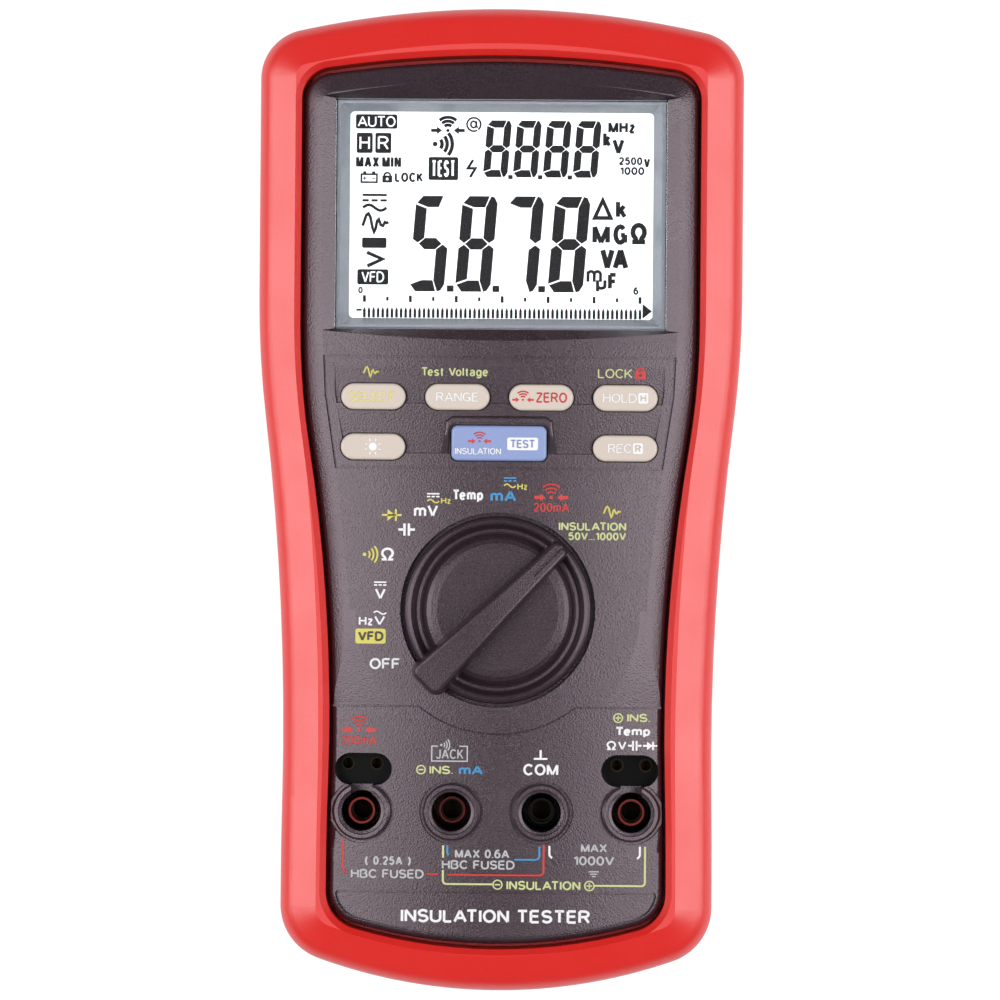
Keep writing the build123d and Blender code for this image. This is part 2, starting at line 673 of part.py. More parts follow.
def make_board_link():
    """Pin header that joins the two boards."""
    link = box((-20, 20), (4.2, 7.0), (MAIN_BOARD_TOP, DISPLAY_BOARD_Z))
    for step in range(-7, 8):
        link -= box((step * 2.54 - 0.35, step * 2.54 + 0.35), (4.0, 4.5), (MAIN_BOARD_TOP + 1, 42))
    return link


def make_lens():
    """Clear window glued into the front case."""
    outline = Pos(0, WINDOW_Y) * Rectangle(WINDOW[0] - 0.06, WINDOW[1] - 0.06)
    lens = slab(outline, LENS_TOP - LENS_THICK, LENS_TOP)
    return chamfer(lens.edges().group_by(Axis.Z)[-1], 0.15)


def make_lcd_frame():
    """Pale frame round the display, with sloping inner walls."""
    low, high = GLASS_TOP + 0.1, LENS_TOP - LENS_THICK - 0.1
    fit = LENS_LEDGE + 0.06
    outer = slab(Pos(0, WINDOW_Y) * Rectangle(WINDOW[0] - fit, WINDOW[1] - fit), low, high)
    wide = Pos(0, WINDOW_Y, high) * round_box(GLASS_AREA[0] + 3.6, GLASS_AREA[1] + 3.0, 0.6)
    narrow = Pos(0, WINDOW_Y, low) * round_box(*GLASS_AREA, 0.9)
    return outer - loft([narrow, wide], ruled=True)


def make_lcd_glass():
    """Liquid crystal panel."""
    return slab(Pos(0, WINDOW_Y) * Rectangle(67.6, 46.6), GLASS_TOP - 2.0, GLASS_TOP)


def make_backlight():
    """Light guide behind the panel."""
    return slab(Pos(0, WINDOW_Y) * Rectangle(66.0, 38.0), DISPLAY_BOARD_TOP + 0.2, GLASS_TOP - 2.2)


def make_leds():
    """Three side-firing lamps at each short end of the light guide."""
    lamps = []
    for sign in (1, -1):
        for step in (-1, 0, 1):
            x = sign * 33.8
            y = WINDOW_Y + 11 * step
            low = DISPLAY_BOARD_TOP
            lamps.append(box((x - 0.7, x + 0.7), (y - 1.5, y + 1.5), (low, low + 2.2)))
    return lamps


def make_zebra_strips():
    """Two conductive rubber strips between the panel and the display board."""
    strips = []
    for sign in (1, -1):
        y = WINDOW_Y + sign * 21.3
        strips.append(box((-31, 31), (y - 1.1, y + 1.1), (DISPLAY_BOARD_TOP, GLASS_TOP - 2.0)))
    return strips


# ---------------------------------------------------------------- keypad
def make_key(name):
    """One key: a cap with eased edges, a flange that keeps it in, and a stem on its dome."""
    cap = slab(key_outline(name, 0), KEY_FLANGE_TOP, KEY_TOP)
    cap = fillet(cap.edges().group_by(Axis.Z)[-1], 0.55)
    key = cap + slab(key_outline(name, KEY_FLANGE), KEY_FLANGE_TOP - KEY_FLANGE_THICK, KEY_FLANGE_TOP)
    return key + slab(key_outline(name, -1.6), DOME_TOP, KEY_FLANGE_TOP - KEY_FLANGE_THICK)


def make_keypad_mat():
    """Silicone sheet with one hollow dome under each key."""
    low = DISPLAY_BOARD_TOP
    mat = slab(Pos(0, 16.6) * round_box(65, 24.4, 2), low, low + 1.0)
    for name, place in key_places():
        spot = Pos(*place)
        foot = Pos(0, 0, low + 0.9) * (spot * key_outline(name, 0.0))
        crown = Pos(0, 0, DOME_TOP) * (spot * key_outline(name, -1.2))
        mat += loft([foot, crown], ruled=True)
        hollow_foot = Pos(0, 0, low) * (spot * key_outline(name, -0.6))
        hollow_top = Pos(0, 0, DOME_TOP - 1.2) * (spot * key_outline(name, -1.8))
        mat -= loft([hollow_foot, hollow_top], ruled=True)
    return mat


# ---------------------------------------------------------------- selector
def bar_plan():
    """Plan of the grip: a wedge with a wide tail and a narrow pointer."""
    tail, tip = 22.5, 19.4
    plan = make_face(Polyline((-tail, -4.5), (tip, -2.1), (tip, 2.1), (-tail, 4.5), close=True))
    plan = fillet(plan.vertices().group_by(Axis.X)[0], 2.4)
    return fillet(plan.vertices().group_by(Axis.X)[-1], 1.5)


def make_knob():
    """Selector knob: dished skirt, grip bar with a pointer groove, and its shaft."""
    ring_top = 57.9
    profile = make_face(Polyline(
        (0, KNOB_FLOOR + 0.3), (KNOB_R, KNOB_FLOOR + 0.3), (KNOB_R, ring_top - 1.0),
        (KNOB_R - 0.3, ring_top - 0.45), (KNOB_R - 0.8, ring_top - 0.1), (KNOB_R - 1.2, ring_top),
        (18.3, ring_top - 0.1), (18.0, ring_top - 0.4), (17.5, 55.9), (17.1, 55.4), (16.5, 55.3), (16.1, 55.5),
        (15.6, 56.1), (15.0, 56.6), (14.1, 56.95), (12.8, 57.1), (6.0, 57.2), (0, 57.2), close=True,
    ))
    skirt = revolve(Plane.XZ * profile, Axis.Z)
    bar = Pos(0, 0, 57.6) * extrude(bar_plan(), amount=HEIGHT - 57.6, taper=6)
    crown_r, crown_x = 110.0, -10.0
    ends = [(x, HEIGHT - crown_r + sqrt(crown_r**2 - (x - crown_x) ** 2)) for x in (24.0, -24.0)]
    base = Polyline(ends[1], (-24.0, 57.0), (24.0, 57.0), ends[0])
    side = make_face([*base.edges(), ThreePointArc(ends[0], (crown_x, HEIGHT), ends[1])])
    bar &= extrude(Plane.XZ * side, amount=10, both=True)
    bar = fillet(bar.faces().sort_by(Axis.Z)[-1].edges(), 0.8)
    root = slab(bar_plan(), KNOB_FLOOR + 1.0, 57.7) & tube(0, 0, (50, 60), KNOB_R - 0.5)
    groove = Pos(15.6, 0, 61.2) * Rot(0, 13.0, 0) * Box(10.4, 0.9, 1.6)
    knob = skirt + root + bar - groove
    knob = Rot(0, 0, POINTER_ANGLE) * knob
    knob += tube(0, 0, (ROTOR_TOP, KNOB_FLOOR + 0.4), SHAFT_R)
    knob -= tube(0, 0, (40, 51), 1.45)
    return Pos(0, KNOB_Y, 0) * knob


def make_rotor():
    """Contact carrier on the shaft, with a notch in its rim for each position."""
    rotor = tube(0, 0, (38.0, ROTOR_TOP), ROTOR_R)
    for step in range(int(360 / DETENT_STEP)):
        angle = radians(POINTER_ANGLE + DETENT_STEP * step)
        rotor -= tube(ROTOR_R * cos(angle), ROTOR_R * sin(angle), (37, 44), 1.25)
    rotor -= tube(0, 0, (37, 44), 1.6)
    rotor -= tube(0, 0, (37, 39.5), 3.0)
    return Pos(0, KNOB_Y, 0) * rotor


def make_rotor_screw():
    """Screw that holds the contact carrier to the shaft."""
    screw = slotted_screw(0, KNOB_Y, 38.0, 2.7, 1.5, 1.4, 8.0)
    return screw


def make_wipers():
    """Three bridging contacts under the carrier."""
    wipers = []
    for angle in (90, 210, 330):
        strip = Pos(0, 0, 37.8) * Box(9.0, 2.2, 0.3)
        for end in (1, -1):
            leg = Pos(end * 3.9, 0, 36.3) * Box(1.2, 2.2, 2.9)
            strip += leg - Pos(end * 3.9, 0, 36.3) * Box(0.8, 3.0, 2.3)
        wipers.append(Pos(0, KNOB_Y, 0) * Rot(0, 0, angle) * Pos(9.0, 0, 0) * strip)
    return wipers


def make_detent_spring():
    """Leaf with a round nose that drops into the carrier's notches."""
    angle = POINTER_ANGLE + 7 * DETENT_STEP
    nose = Pos(ROTOR_R + 0.05, 0, 40.2) * Cylinder(1.15, 3.6)
    leaf = Pos(ROTOR_R + 1.4, 0, 40.2) * Box(0.5, 16.0, 3.6)
    post = Pos(ROTOR_R + 2.4, 9.5, (MAIN_BOARD_TOP + 42.0) / 2) * Box(2.6, 3.4, 42.0 - MAIN_BOARD_TOP)
    return Pos(0, KNOB_Y, 0) * Rot(0, 0, angle) * (nose + leaf + post)


def make_shaft_seal():
    """O-ring round the selector shaft, in the groove of its bearing."""
    return Pos(0, KNOB_Y, SHAFT_SEAL_Z) * Torus(SHAFT_R + 0.85, 0.8)


# ---------------------------------------------------------------- power, protection and sound
def make_fuses():
    """Two high breaking capacity fuses on the board's underside."""
    fuses = []
    for y in (-62.0, -76.5):
        fuse = Pos(0, y, 24.6) * Rot(0, 90, 0) * Cylinder(FUSE_R - 0.3, FUSE_LENGTH)
        for sign in (1, -1):
            cap = Pos(sign * (FUSE_LENGTH / 2 - 4.5), y, 24.6) * Rot(0, 90, 0) * Cylinder(FUSE_R, 9.0)
            fuse += cap
        fuses.append(fuse)
    return fuses


def make_fuse_clips():
    """Four sprung clips that hold the fuses."""
    clips = []
    for y in (-62.0, -76.5):
        for sign in (1, -1):
            x = sign * (FUSE_LENGTH / 2 - 4.5)
            clip = box((x - 3, x + 3), (y - 5.7, y + 5.7), (22.5, MAIN_BOARD_Z))
            clip -= Pos(x, y, 24.6) * Rot(0, 90, 0) * Cylinder(FUSE_R + 0.05, 20)
            clip -= box((x - 4, x + 4), (y - 4.2, y + 4.2), (20, 31.5))
            clips.append(clip)
    return clips


def make_transformer():
    """High voltage transformer on the main board."""
    core = box((-31.5, -17.5), (12, 28), (MAIN_BOARD_TOP, 42.4))
    window = box((-27.5, -21.5), (10, 30), (MAIN_BOARD_TOP + 1.6, 41.0))
    winding = box((-29.0, -20.0), (14.5, 25.5), (MAIN_BOARD_TOP + 0.8, 41.8))
    return core - window + winding


def make_relays():
    """Two range relays."""
    return [box((x, x + 10), (10, 30), (MAIN_BOARD_TOP, 42.2)) for x in (6, 19)]


def make_capacitors():
    """Three film capacitors of the test voltage circuit."""
    blocks = []
    for step in range(3):
        block = box((-13, 1), (9.2 + 7.4 * step, 15.2 + 7.4 * step), (MAIN_BOARD_TOP, 42.0))
        blocks.append(fillet(block.edges().filter_by(Axis.Z), 1.0))
    return blocks


def make_chips():
    """Processor and converter packages."""
    places = ((-9, 52, 14), (14, 60, 10), (-22, 66, 8))
    return [
        box((x - w / 2, x + w / 2), (y - w / 2, y + w / 2), (MAIN_BOARD_TOP, MAIN_BOARD_TOP + 1.5))
        for x, y, w in places
    ]


def make_buzzer():
    """Piezo sounder on the board."""
    can = tube(20, 74, (MAIN_BOARD_TOP, 40.0), 6.5)
    return can - tube(20, 74, (38.5, 41), 1.2)


# ---------------------------------------------------------------- build
def main():
    """Makes every sub-part and writes it."""
    save("holster", make_holster())
    save("tilt_stand", make_stand())
    save("stand_pads", make_stand_pads())
    save("front_case", make_front_case())
    save("rear_case", make_rear_case())
    save("case_seal", make_seal())
    save("case_screws", make_case_screws())
    save("battery_door", make_door())
    save("battery_door_screws", make_door_screws())
    save("battery_cells", make_cells())
    save("battery_springs", make_battery_springs())
    save("battery_plates", make_battery_plates())
    save("main_board", make_main_board())
    save("display_board", make_display_board())
    save("board_spacers", make_spacers())
    save("board_link", make_board_link())
    save("window_lens", make_lens())
    save("lcd_frame", make_lcd_frame())
    save("lcd_glass", make_lcd_glass())
    save("backlight_guide", make_backlight())
    save("backlight_lamps", make_leds())
    save("zebra_strips", make_zebra_strips())
    save("keypad_mat", make_keypad_mat())
    for name, place in key_places():
        save(name, Pos(*place) * make_key(name))
    save("selector_knob", make_knob())
    save("selector_rotor", make_rotor())
    save("rotor_screw", make_rotor_screw())
    save("selector_wipers", make_wipers())
    save("detent_spring", make_detent_spring())
    save("shaft_seal", make_shaft_seal())
    save("jack_contacts", make_jack_contacts())
    names = ("resistance_jack_sleeve", "milliamp_jack_sleeve", "common_jack_sleeve", "voltage_jack_sleeve")
    for index, name in enumerate(names):
        save(name, make_sleeve(index))
    save("remote_socket_blocks", make_remote_inserts())
    save("remote_socket_contacts", make_remote_contacts())
    save("fuses", make_fuses())
    save("fuse_clips", make_fuse_clips())
    save("test_transformer", make_transformer())
    save("range_relays", make_relays())
    save("film_capacitors", make_capacitors())
    save("circuit_chips", make_chips())
    save("buzzer", make_buzzer())


main()
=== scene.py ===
# %% [markdown]
# An insulation tester is a dark moulded case in a soft red holster. The case, the holster, the
# keys and the selector come from the CAD model, at their real size and place. This lesson adds
# what a moulder, a printer and a display maker add: grain, colours, printed legends, and the
# marks on the liquid crystal display.

# %% Load the model
from math import atan2, cos, pi, radians, sin
import bpy
from mathutils import Matrix, Vector


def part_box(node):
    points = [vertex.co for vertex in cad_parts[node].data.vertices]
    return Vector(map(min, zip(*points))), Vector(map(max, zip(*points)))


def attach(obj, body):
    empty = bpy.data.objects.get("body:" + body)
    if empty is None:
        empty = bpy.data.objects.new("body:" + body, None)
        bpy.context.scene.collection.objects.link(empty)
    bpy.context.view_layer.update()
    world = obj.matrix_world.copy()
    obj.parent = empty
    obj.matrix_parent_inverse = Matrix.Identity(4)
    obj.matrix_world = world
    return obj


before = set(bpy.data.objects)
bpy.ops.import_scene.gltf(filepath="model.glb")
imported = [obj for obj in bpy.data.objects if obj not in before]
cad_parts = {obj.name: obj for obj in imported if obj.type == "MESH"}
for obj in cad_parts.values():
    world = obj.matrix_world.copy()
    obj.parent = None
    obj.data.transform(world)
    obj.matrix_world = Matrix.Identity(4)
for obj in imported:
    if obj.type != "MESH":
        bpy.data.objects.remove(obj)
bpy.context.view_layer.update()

bpy.ops.object.select_all(action="DESELECT")

# %% [markdown]
# Every length below is written in millimetres and turned into metres by one factor, because a
# meter's drawing is in millimetres and Blender works in metres. Heights come from the model's
# own nodes, so print and segments land on the surface they belong to.

# %% Units and heights
MM = 0.001
INK = 0.05  # thickness of a printed layer
OVER = 0.12  # height at which a second layer is printed over a first
DISPLAY_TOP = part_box("lcd_glass")[1].z / MM
CASE_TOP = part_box("front_case")[1].z / MM
print("display at", round(DISPLAY_TOP, 2), "mm, case top at", round(CASE_TOP, 2), "mm")

# %% [markdown]
# The camera looks straight down on the face from about a metre away, with a long lens, as for a
# catalogue picture. It stands a little to the right, and is turned by less than half a degree.

# %% Camera
CAMERA_DISTANCE = 1.13
CAMERA_LEAN = radians(1.0)
CAMERA_TURN = radians(0.46)
aim = Vector((0.0003, 0.0001, 0.057))
camera_data = bpy.data.cameras.new("camera")
camera_data.sensor_width = 36.0
camera_data.lens = 192.8
camera_data.clip_end = 20.0
camera = bpy.data.objects.new("camera", camera_data)
camera.rotation_euler = (0.0, CAMERA_LEAN, CAMERA_TURN)
camera.location = aim + CAMERA_DISTANCE * Vector((sin(CAMERA_LEAN), 0.0, cos(CAMERA_LEAN)))
bpy.context.scene.collection.objects.link(camera)
bpy.context.scene.camera = camera
bpy.context.scene.view_settings.view_transform = "Standard"
print("camera at", [round(value, 3) for value in camera.location])

# %% [markdown]
# Two long soft boxes stand left and right, and reach from a quarter to two thirds of the way down
# from straight above. The sloping flanks of the holster and the crowned edges of the case mirror
# them, so those come out paler than the flat face. Nothing stands above or below the meter, which
# keeps the top and bottom rims deep red.

# %% Studio
def soft_box(name, place, size, power):
    """A rectangular lamp that points at the middle of the meter."""
    lamp = bpy.data.lights.new(name, "AREA")
    lamp.shape = "RECTANGLE"
    lamp.size, lamp.size_y = size
    lamp.energy = power
    stand = bpy.data.objects.new(name, lamp)
    stand.location = place
    toward = METER_MIDDLE - Vector(place)
    stand.rotation_euler = toward.to_track_quat("-Z", "Y").to_euler()
    bpy.context.scene.collection.objects.link(stand)


METER_MIDDLE = Vector((0.0, 0.0, 0.03))
BOX_SIZE = (0.66, 1.25)
BOX_POWER = 11.2
soft_box("left_box", (-0.74, 0.0, 0.86), BOX_SIZE, BOX_POWER)
soft_box("right_box", (0.74, 0.0, 0.86), BOX_SIZE, BOX_POWER)

world = bpy.data.worlds.new("pale_room")
world.use_nodes = True
world.node_tree.nodes["Background"].inputs["Color"].default_value = (0.95, 0.95, 1.0, 1.0)
world.node_tree.nodes["Background"].inputs["Strength"].default_value = 0.22
bpy.context.scene.world = world

# %% [markdown]
# The floor is a sheet of opal acrylic lit from below, as on a light table. It stays white under
# any lamp, and no coloured light comes back from it on to the holster's shadow side. Its underside
# lets light through, so that the back of the meter can be looked at from below.

# %% Floor
FLOOR_SIZE = 8.0
FLOOR_DROP = 0.0002  # just under the meter, so that no two faces share a plane
bpy.ops.mesh.primitive_plane_add(size=FLOOR_SIZE, location=(0.0, 0.0, -FLOOR_DROP))
floor = bpy.context.object
floor.name = "floor"
opal = bpy.data.materials.new("floor_opal")
opal.use_nodes = True
nodes, links = opal.node_tree.nodes, opal.node_tree.links
sheet = nodes["Principled BSDF"]
sheet.inputs["Base Color"].default_value = (0.25, 0.25, 0.26, 1.0)
sheet.inputs["Roughness"].default_value = 0.9
sheet.inputs["Emission Color"].default_value = (1.0, 1.0, 1.0, 1.0)
sheet.inputs["Emission Strength"].default_value = 0.85
behind = nodes.new("ShaderNodeNewGeometry")
see_through = nodes.new("ShaderNodeBsdfTransparent")
choose = nodes.new("ShaderNodeMixShader")
links.new(behind.outputs["Backfacing"], choose.inputs[0])
links.new(sheet.outputs[0], choose.inputs[1])
links.new(see_through.outputs[0], choose.inputs[2])
links.new(choose.outputs[0], nodes["Material Output"].inputs["Surface"])
floor.data.materials.append(opal)
bpy.ops.object.select_all(action="DESELECT")

# %% [markdown]
# Moulded plastic is never one flat tone. The mould is spark-eroded, which leaves a fine pebbled
# grain, and handling and dust vary the tone by a few percent. The grain's hollows are also darkened
# in the colour, which is painted shade. Both effects are needed on many parts, so each is a node
# group that is built once. The grain works on Object coordinates, which stay the same wherever the
# part is moved.

# %% Shared surface effects
def new_group(name, inputs, outputs):
    """An empty shader node group with number inputs and the given outputs."""
    group = bpy.data.node_groups.new(name, "ShaderNodeTree")
    for label, value in inputs:
        socket = group.interface.new_socket(label, in_out="INPUT", socket_type="NodeSocketFloat")
        socket.default_value = value
    for label in outputs:
        group.interface.new_socket(label, in_out="OUTPUT", socket_type="NodeSocketFloat")
    return group, group.nodes.new("NodeGroupInput"), group.nodes.new("NodeGroupOutput")


def mould_grain():
    """Pebbled grain. Height feeds a Bump node, and Valley is bright between the pebbles."""
    group, given, result = new_group("mould_grain", [("Scale", 1800.0)], ["Height", "Valley"])
    make, join = group.nodes.new, group.links.new
    place = make("ShaderNodeTexCoord")
    cells = make("ShaderNodeTexVoronoi")
    cells.feature = "SMOOTH_F1"
    cells.inputs["Smoothness"].default_value = 0.6
    wobble = make("ShaderNodeTexNoise")
    wobble.inputs["Detail"].default_value = 3.0
    blend = make("ShaderNodeMath")
    blend.operation = "MULTIPLY_ADD"
    blend.inputs[1].default_value = 0.55
    soften = make("ShaderNodeMapRange")
    soften.inputs["From Min"].default_value = 0.35
    soften.inputs["From Max"].default_value = 0.95
    join(place.outputs["Object"], cells.inputs["Vector"])
    join(place.outputs["Object"], wobble.inputs["Vector"])
    join(given.outputs["Scale"], cells.inputs["Scale"])
    join(given.outputs["Scale"], wobble.inputs["Scale"])
    join(cells.outputs["Distance"], blend.inputs[0])
    join(wobble.outputs["Fac"], blend.inputs[2])
    join(blend.outputs[0], soften.inputs["Value"])
    join(blend.outputs[0], result.inputs["Height"])
    join(soften.outputs["Result"], result.inputs["Valley"])
    return group


def tone_drift():
    """Slow cloudy variation for tone and gloss, from 0 to 1."""
    group, given, result = new_group("tone_drift", [("Scale", 60.0)], ["Cloud"])
    make, join = group.nodes.new, group.links.new
    place = make("ShaderNodeTexCoord")
    broad = make("ShaderNodeTexNoise")
    broad.inputs["Detail"].default_value = 4.0
    broad.inputs["Roughness"].default_value = 0.6
    stretch = make("ShaderNodeMapRange")
    stretch.inputs["From Min"].default_value = 0.3
    stretch.inputs["From Max"].default_value = 0.7
    join(place.outputs["Object"], broad.inputs["Vector"])
    join(given.outputs["Scale"], broad.inputs["Scale"])
    join(broad.outputs["Fac"], stretch.inputs["Value"])
    join(stretch.outputs["Result"], result.inputs["Cloud"])
    return group


GRAIN = mould_grain()
DRIFT = tone_drift()
print("effects:", GRAIN.name, DRIFT.name)

# %% [markdown]
# Most parts are mouldings, so one recipe serves them all. It mixes two close tones by the grain's
# valleys, with the darker one in the valleys as painted shade, varies the gloss with the slow cloud,
# and raises the grain with a Bump node. What makes rubber, case plastic and key caps differ is their
# tones, their gloss and the size of the grain.

# %% Recipe for a moulding
def moulding(name, tone, valley_shade_tone, gloss=(0.4, 0.5), grain=1800.0, depth=0.05, specular=0.5):
    """A moulded material. gloss is the lowest and highest roughness; depth is in millimetres."""
    material = bpy.data.materials.new(name)
    material.use_nodes = True
    make, join = material.node_tree.nodes.new, material.node_tree.links.new
    body = material.node_tree.nodes["Principled BSDF"]
    body.inputs["Specular IOR Level"].default_value = specular
    pebbles = make("ShaderNodeGroup")
    pebbles.node_tree = GRAIN
    pebbles.inputs["Scale"].default_value = grain
    cloud = make("ShaderNodeGroup")
    cloud.node_tree = DRIFT
    # The valley tone is painted shade: the grain's hollows are darkened in the colour.
    mix = make("ShaderNodeMix")
    mix.data_type = "RGBA"
    mix.inputs["A"].default_value = (*tone, 1.0)
    mix.inputs["B"].default_value = (*valley_shade_tone, 1.0)
    dull = make("ShaderNodeMapRange")
    dull.inputs["To Min"].default_value, dull.inputs["To Max"].default_value = gloss
    bump = make("ShaderNodeBump")
    bump.inputs["Strength"].default_value = 1.0
    bump.inputs["Distance"].default_value = depth * MM
    join(pebbles.outputs["Valley"], mix.inputs["Factor"])
    join(mix.outputs["Result"], body.inputs["Base Color"])
    join(cloud.outputs["Cloud"], dull.inputs["Value"])
    join(dull.outputs["Result"], body.inputs["Roughness"])
    join(pebbles.outputs["Height"], bump.inputs["Height"])
    join(bump.outputs["Normal"], body.inputs["Normal"])
    return material


# %% [markdown]
# The face of the case isn't flat: the mould is crowned, so the surface rolls down towards both
# long edges, more steeply the nearer it gets. The crown is far too slight to matter for fit, but
# it decides which lamp the surface mirrors. So the case's material adds it to the height that the
# grain gives. The half width of the case narrows below the display, and the crown follows it.

# %% Crowned case
CROWN_RISE = 3.4  # drop at the long edges, in millimetres
CROWN_POWER = 2.0
HALF_WIDTH_TOP, HALF_WIDTH_FOOT = 41.0, 35.0
WAIST_START, WAIST_END = -12.0, 55.0  # the width changes between these heights on the face


def crowned(material):
    """Adds a crown across the width to a moulding's height."""
    tree = material.node_tree
    make, join = tree.nodes.new, tree.links.new
    bump = next(node for node in tree.nodes if node.bl_idname == "ShaderNodeBump")
    grain_height = bump.inputs["Height"].links[0].from_socket
    depth = bump.inputs["Distance"].default_value
    bump.inputs["Distance"].default_value = 1.0

    def calc(operation, first, second=None, third=None):
        node = make("ShaderNodeMath")
        node.operation = operation
        for socket, value in zip(node.inputs, (first, second, third)):
            if isinstance(value, float):
                socket.default_value = value
            elif value is not None:
                join(value, socket)
        return node.outputs[0]

    place = make("ShaderNodeTexCoord")
    axes = make("ShaderNodeSeparateXYZ")
    join(place.outputs["Object"], axes.inputs[0])
    narrow = make("ShaderNodeMapRange")
    narrow.interpolation_type = "SMOOTHSTEP"
    narrow.inputs["From Min"].default_value = WAIST_START * MM
    narrow.inputs["From Max"].default_value = WAIST_END * MM
    narrow.inputs["To Min"].default_value = HALF_WIDTH_FOOT * MM
    narrow.inputs["To Max"].default_value = HALF_WIDTH_TOP * MM
    join(axes.outputs["Y"], narrow.inputs["Value"])
    share = calc("DIVIDE", calc("ABSOLUTE", axes.outputs["X"]), narrow.outputs["Result"])
    crown = calc("MULTIPLY", calc("POWER", share, CROWN_POWER), -CROWN_RISE * MM)
    total = calc("MULTIPLY_ADD", grain_height, depth, crown)
    join(total, bump.inputs["Height"])
    return material


# %% [markdown]
# The recipe is now used once for each plastic, rubber and board of the meter. The numbers are, in
# order: tone, tone in the valleys (darker, as painted shade), lowest and highest roughness, fineness
# and depth of the grain, and for some the strength of the sheen. The two dark mouldings have a
# faintly warm sheen.

# %% The mouldings
holster_red = moulding(
    "holster_red", (0.68, 0.0095, 0.0045), (0.63, 0.0075, 0.0035), (0.34, 0.42), 2600.0, 0.012, 0.9
)
# The case and the knob have valley tones about a third of their tones: strong painted shade in the grain's
# hollows.
case_charcoal = crowned(moulding(
    "case_charcoal", (0.044, 0.028, 0.036), (0.014, 0.009, 0.012), (0.25, 0.30), 2800.0, 0.055, 0.75
))
knob_charcoal = moulding(
    "knob_charcoal", (0.040, 0.025, 0.030), (0.016, 0.010, 0.013), (0.27, 0.34), 2800.0, 0.045, 0.55
)
WARM_SHEEN = (1.0, 0.84, 0.92, 1.0)
for dark_plastic in (case_charcoal, knob_charcoal):
    body = dark_plastic.node_tree.nodes["Principled BSDF"]
    body.inputs["Specular Tint"].default_value = WARM_SHEEN
key_cream = moulding("key_cream", (0.57, 0.49, 0.43), (0.54, 0.46, 0.40), (0.35, 0.42), 3000.0, 0.006)
button_blue = moulding("button_blue", (0.24, 0.30, 0.53), (0.22, 0.28, 0.50), (0.32, 0.40), 3000.0, 0.006)
stand_charcoal = moulding(
    "stand_charcoal", (0.05, 0.045, 0.05), (0.03, 0.027, 0.03), (0.4, 0.5), 2000.0, 0.05
)
soft_black = moulding("soft_black", (0.016, 0.016, 0.017), (0.010, 0.010, 0.011), (0.55, 0.7), 2600.0, 0.02)
shiny_black = moulding(
    "shiny_black", (0.004, 0.0035, 0.0035), (0.003, 0.003, 0.003), (0.22, 0.3), 1500.0, 0.004, 0.15
)
sleeve_red = moulding(
    "sleeve_red", (0.24, 0.012, 0.011), (0.20, 0.010, 0.009), (0.3, 0.4), 2500.0, 0.008, 0.3
)
display_surround = moulding(
    "display_surround", (0.16, 0.17, 0.19), (0.14, 0.15, 0.17), (0.3, 0.4), 900.0, 0.006
)
silicone_grey = moulding("silicone_grey", (0.55, 0.55, 0.53), (0.5, 0.5, 0.48), (0.45, 0.55), 2000.0, 0.01)
board_green = moulding("board_green", (0.020, 0.16, 0.06), (0.015, 0.12, 0.045), (0.25, 0.4), 700.0, 0.01)
cell_sleeve = moulding("cell_sleeve", (0.05, 0.055, 0.065), (0.04, 0.045, 0.055), (0.25, 0.35), 800.0, 0.004)
capacitor_blue = moulding("capacitor_blue", (0.03, 0.10, 0.30), (0.025, 0.08, 0.26), (0.2, 0.3), 900.0, 0.01)
fuse_white = moulding("fuse_white", (0.80, 0.79, 0.74), (0.74, 0.73, 0.68), (0.2, 0.3), 1200.0, 0.004)
light_guide = moulding("light_guide", (0.82, 0.86, 0.90), (0.78, 0.82, 0.86), (0.2, 0.3), 1500.0, 0.004)
print("mouldings made:", len(bpy.data.materials) - 1)

# %% [markdown]
# Metal parts are turned or stamped. Turned brass and plated steel carry fine tool marks, so their
# roughness varies in thin rings, while their colour stays even.

# %% Metals
def metal(name, tone, gloss, rings=5000.0):
    """A turned or stamped metal, with fine bands in its gloss."""
    material = bpy.data.materials.new(name)
    material.use_nodes = True
    make, join = material.node_tree.nodes.new, material.node_tree.links.new
    body = material.node_tree.nodes["Principled BSDF"]
    body.inputs["Base Color"].default_value = (*tone, 1.0)
    body.inputs["Metallic"].default_value = 1.0
    place = make("ShaderNodeTexCoord")
    bands = make("ShaderNodeTexWave")
    bands.bands_direction = "Z"
    bands.inputs["Scale"].default_value = rings
    bands.inputs["Distortion"].default_value = 2.0
    dull = make("ShaderNodeMapRange")
    dull.inputs["To Min"].default_value, dull.inputs["To Max"].default_value = gloss
    join(place.outputs["Object"], bands.inputs["Vector"])
    join(bands.outputs["Fac"], dull.inputs["Value"])
    join(dull.outputs["Result"], body.inputs["Roughness"])
    return material


contact_brass = metal("contact_brass", (0.62, 0.46, 0.24), (0.22, 0.38))
# Near-black contacts: painted shade for the dark inside of the jack holes and the remote socket, not the
# metal's own colour.
contact_painted_shade = metal("contact_painted_shade", (0.022, 0.016, 0.011), (0.35, 0.5))
screw_steel = metal("screw_steel", (0.56, 0.57, 0.58), (0.25, 0.40))

# %% [markdown]
# The display is lit from behind. A panel that gives off light shows that better than a bright
# lamp inside would, and costs no render time. The light is slightly cloudy, as a light guide's is.

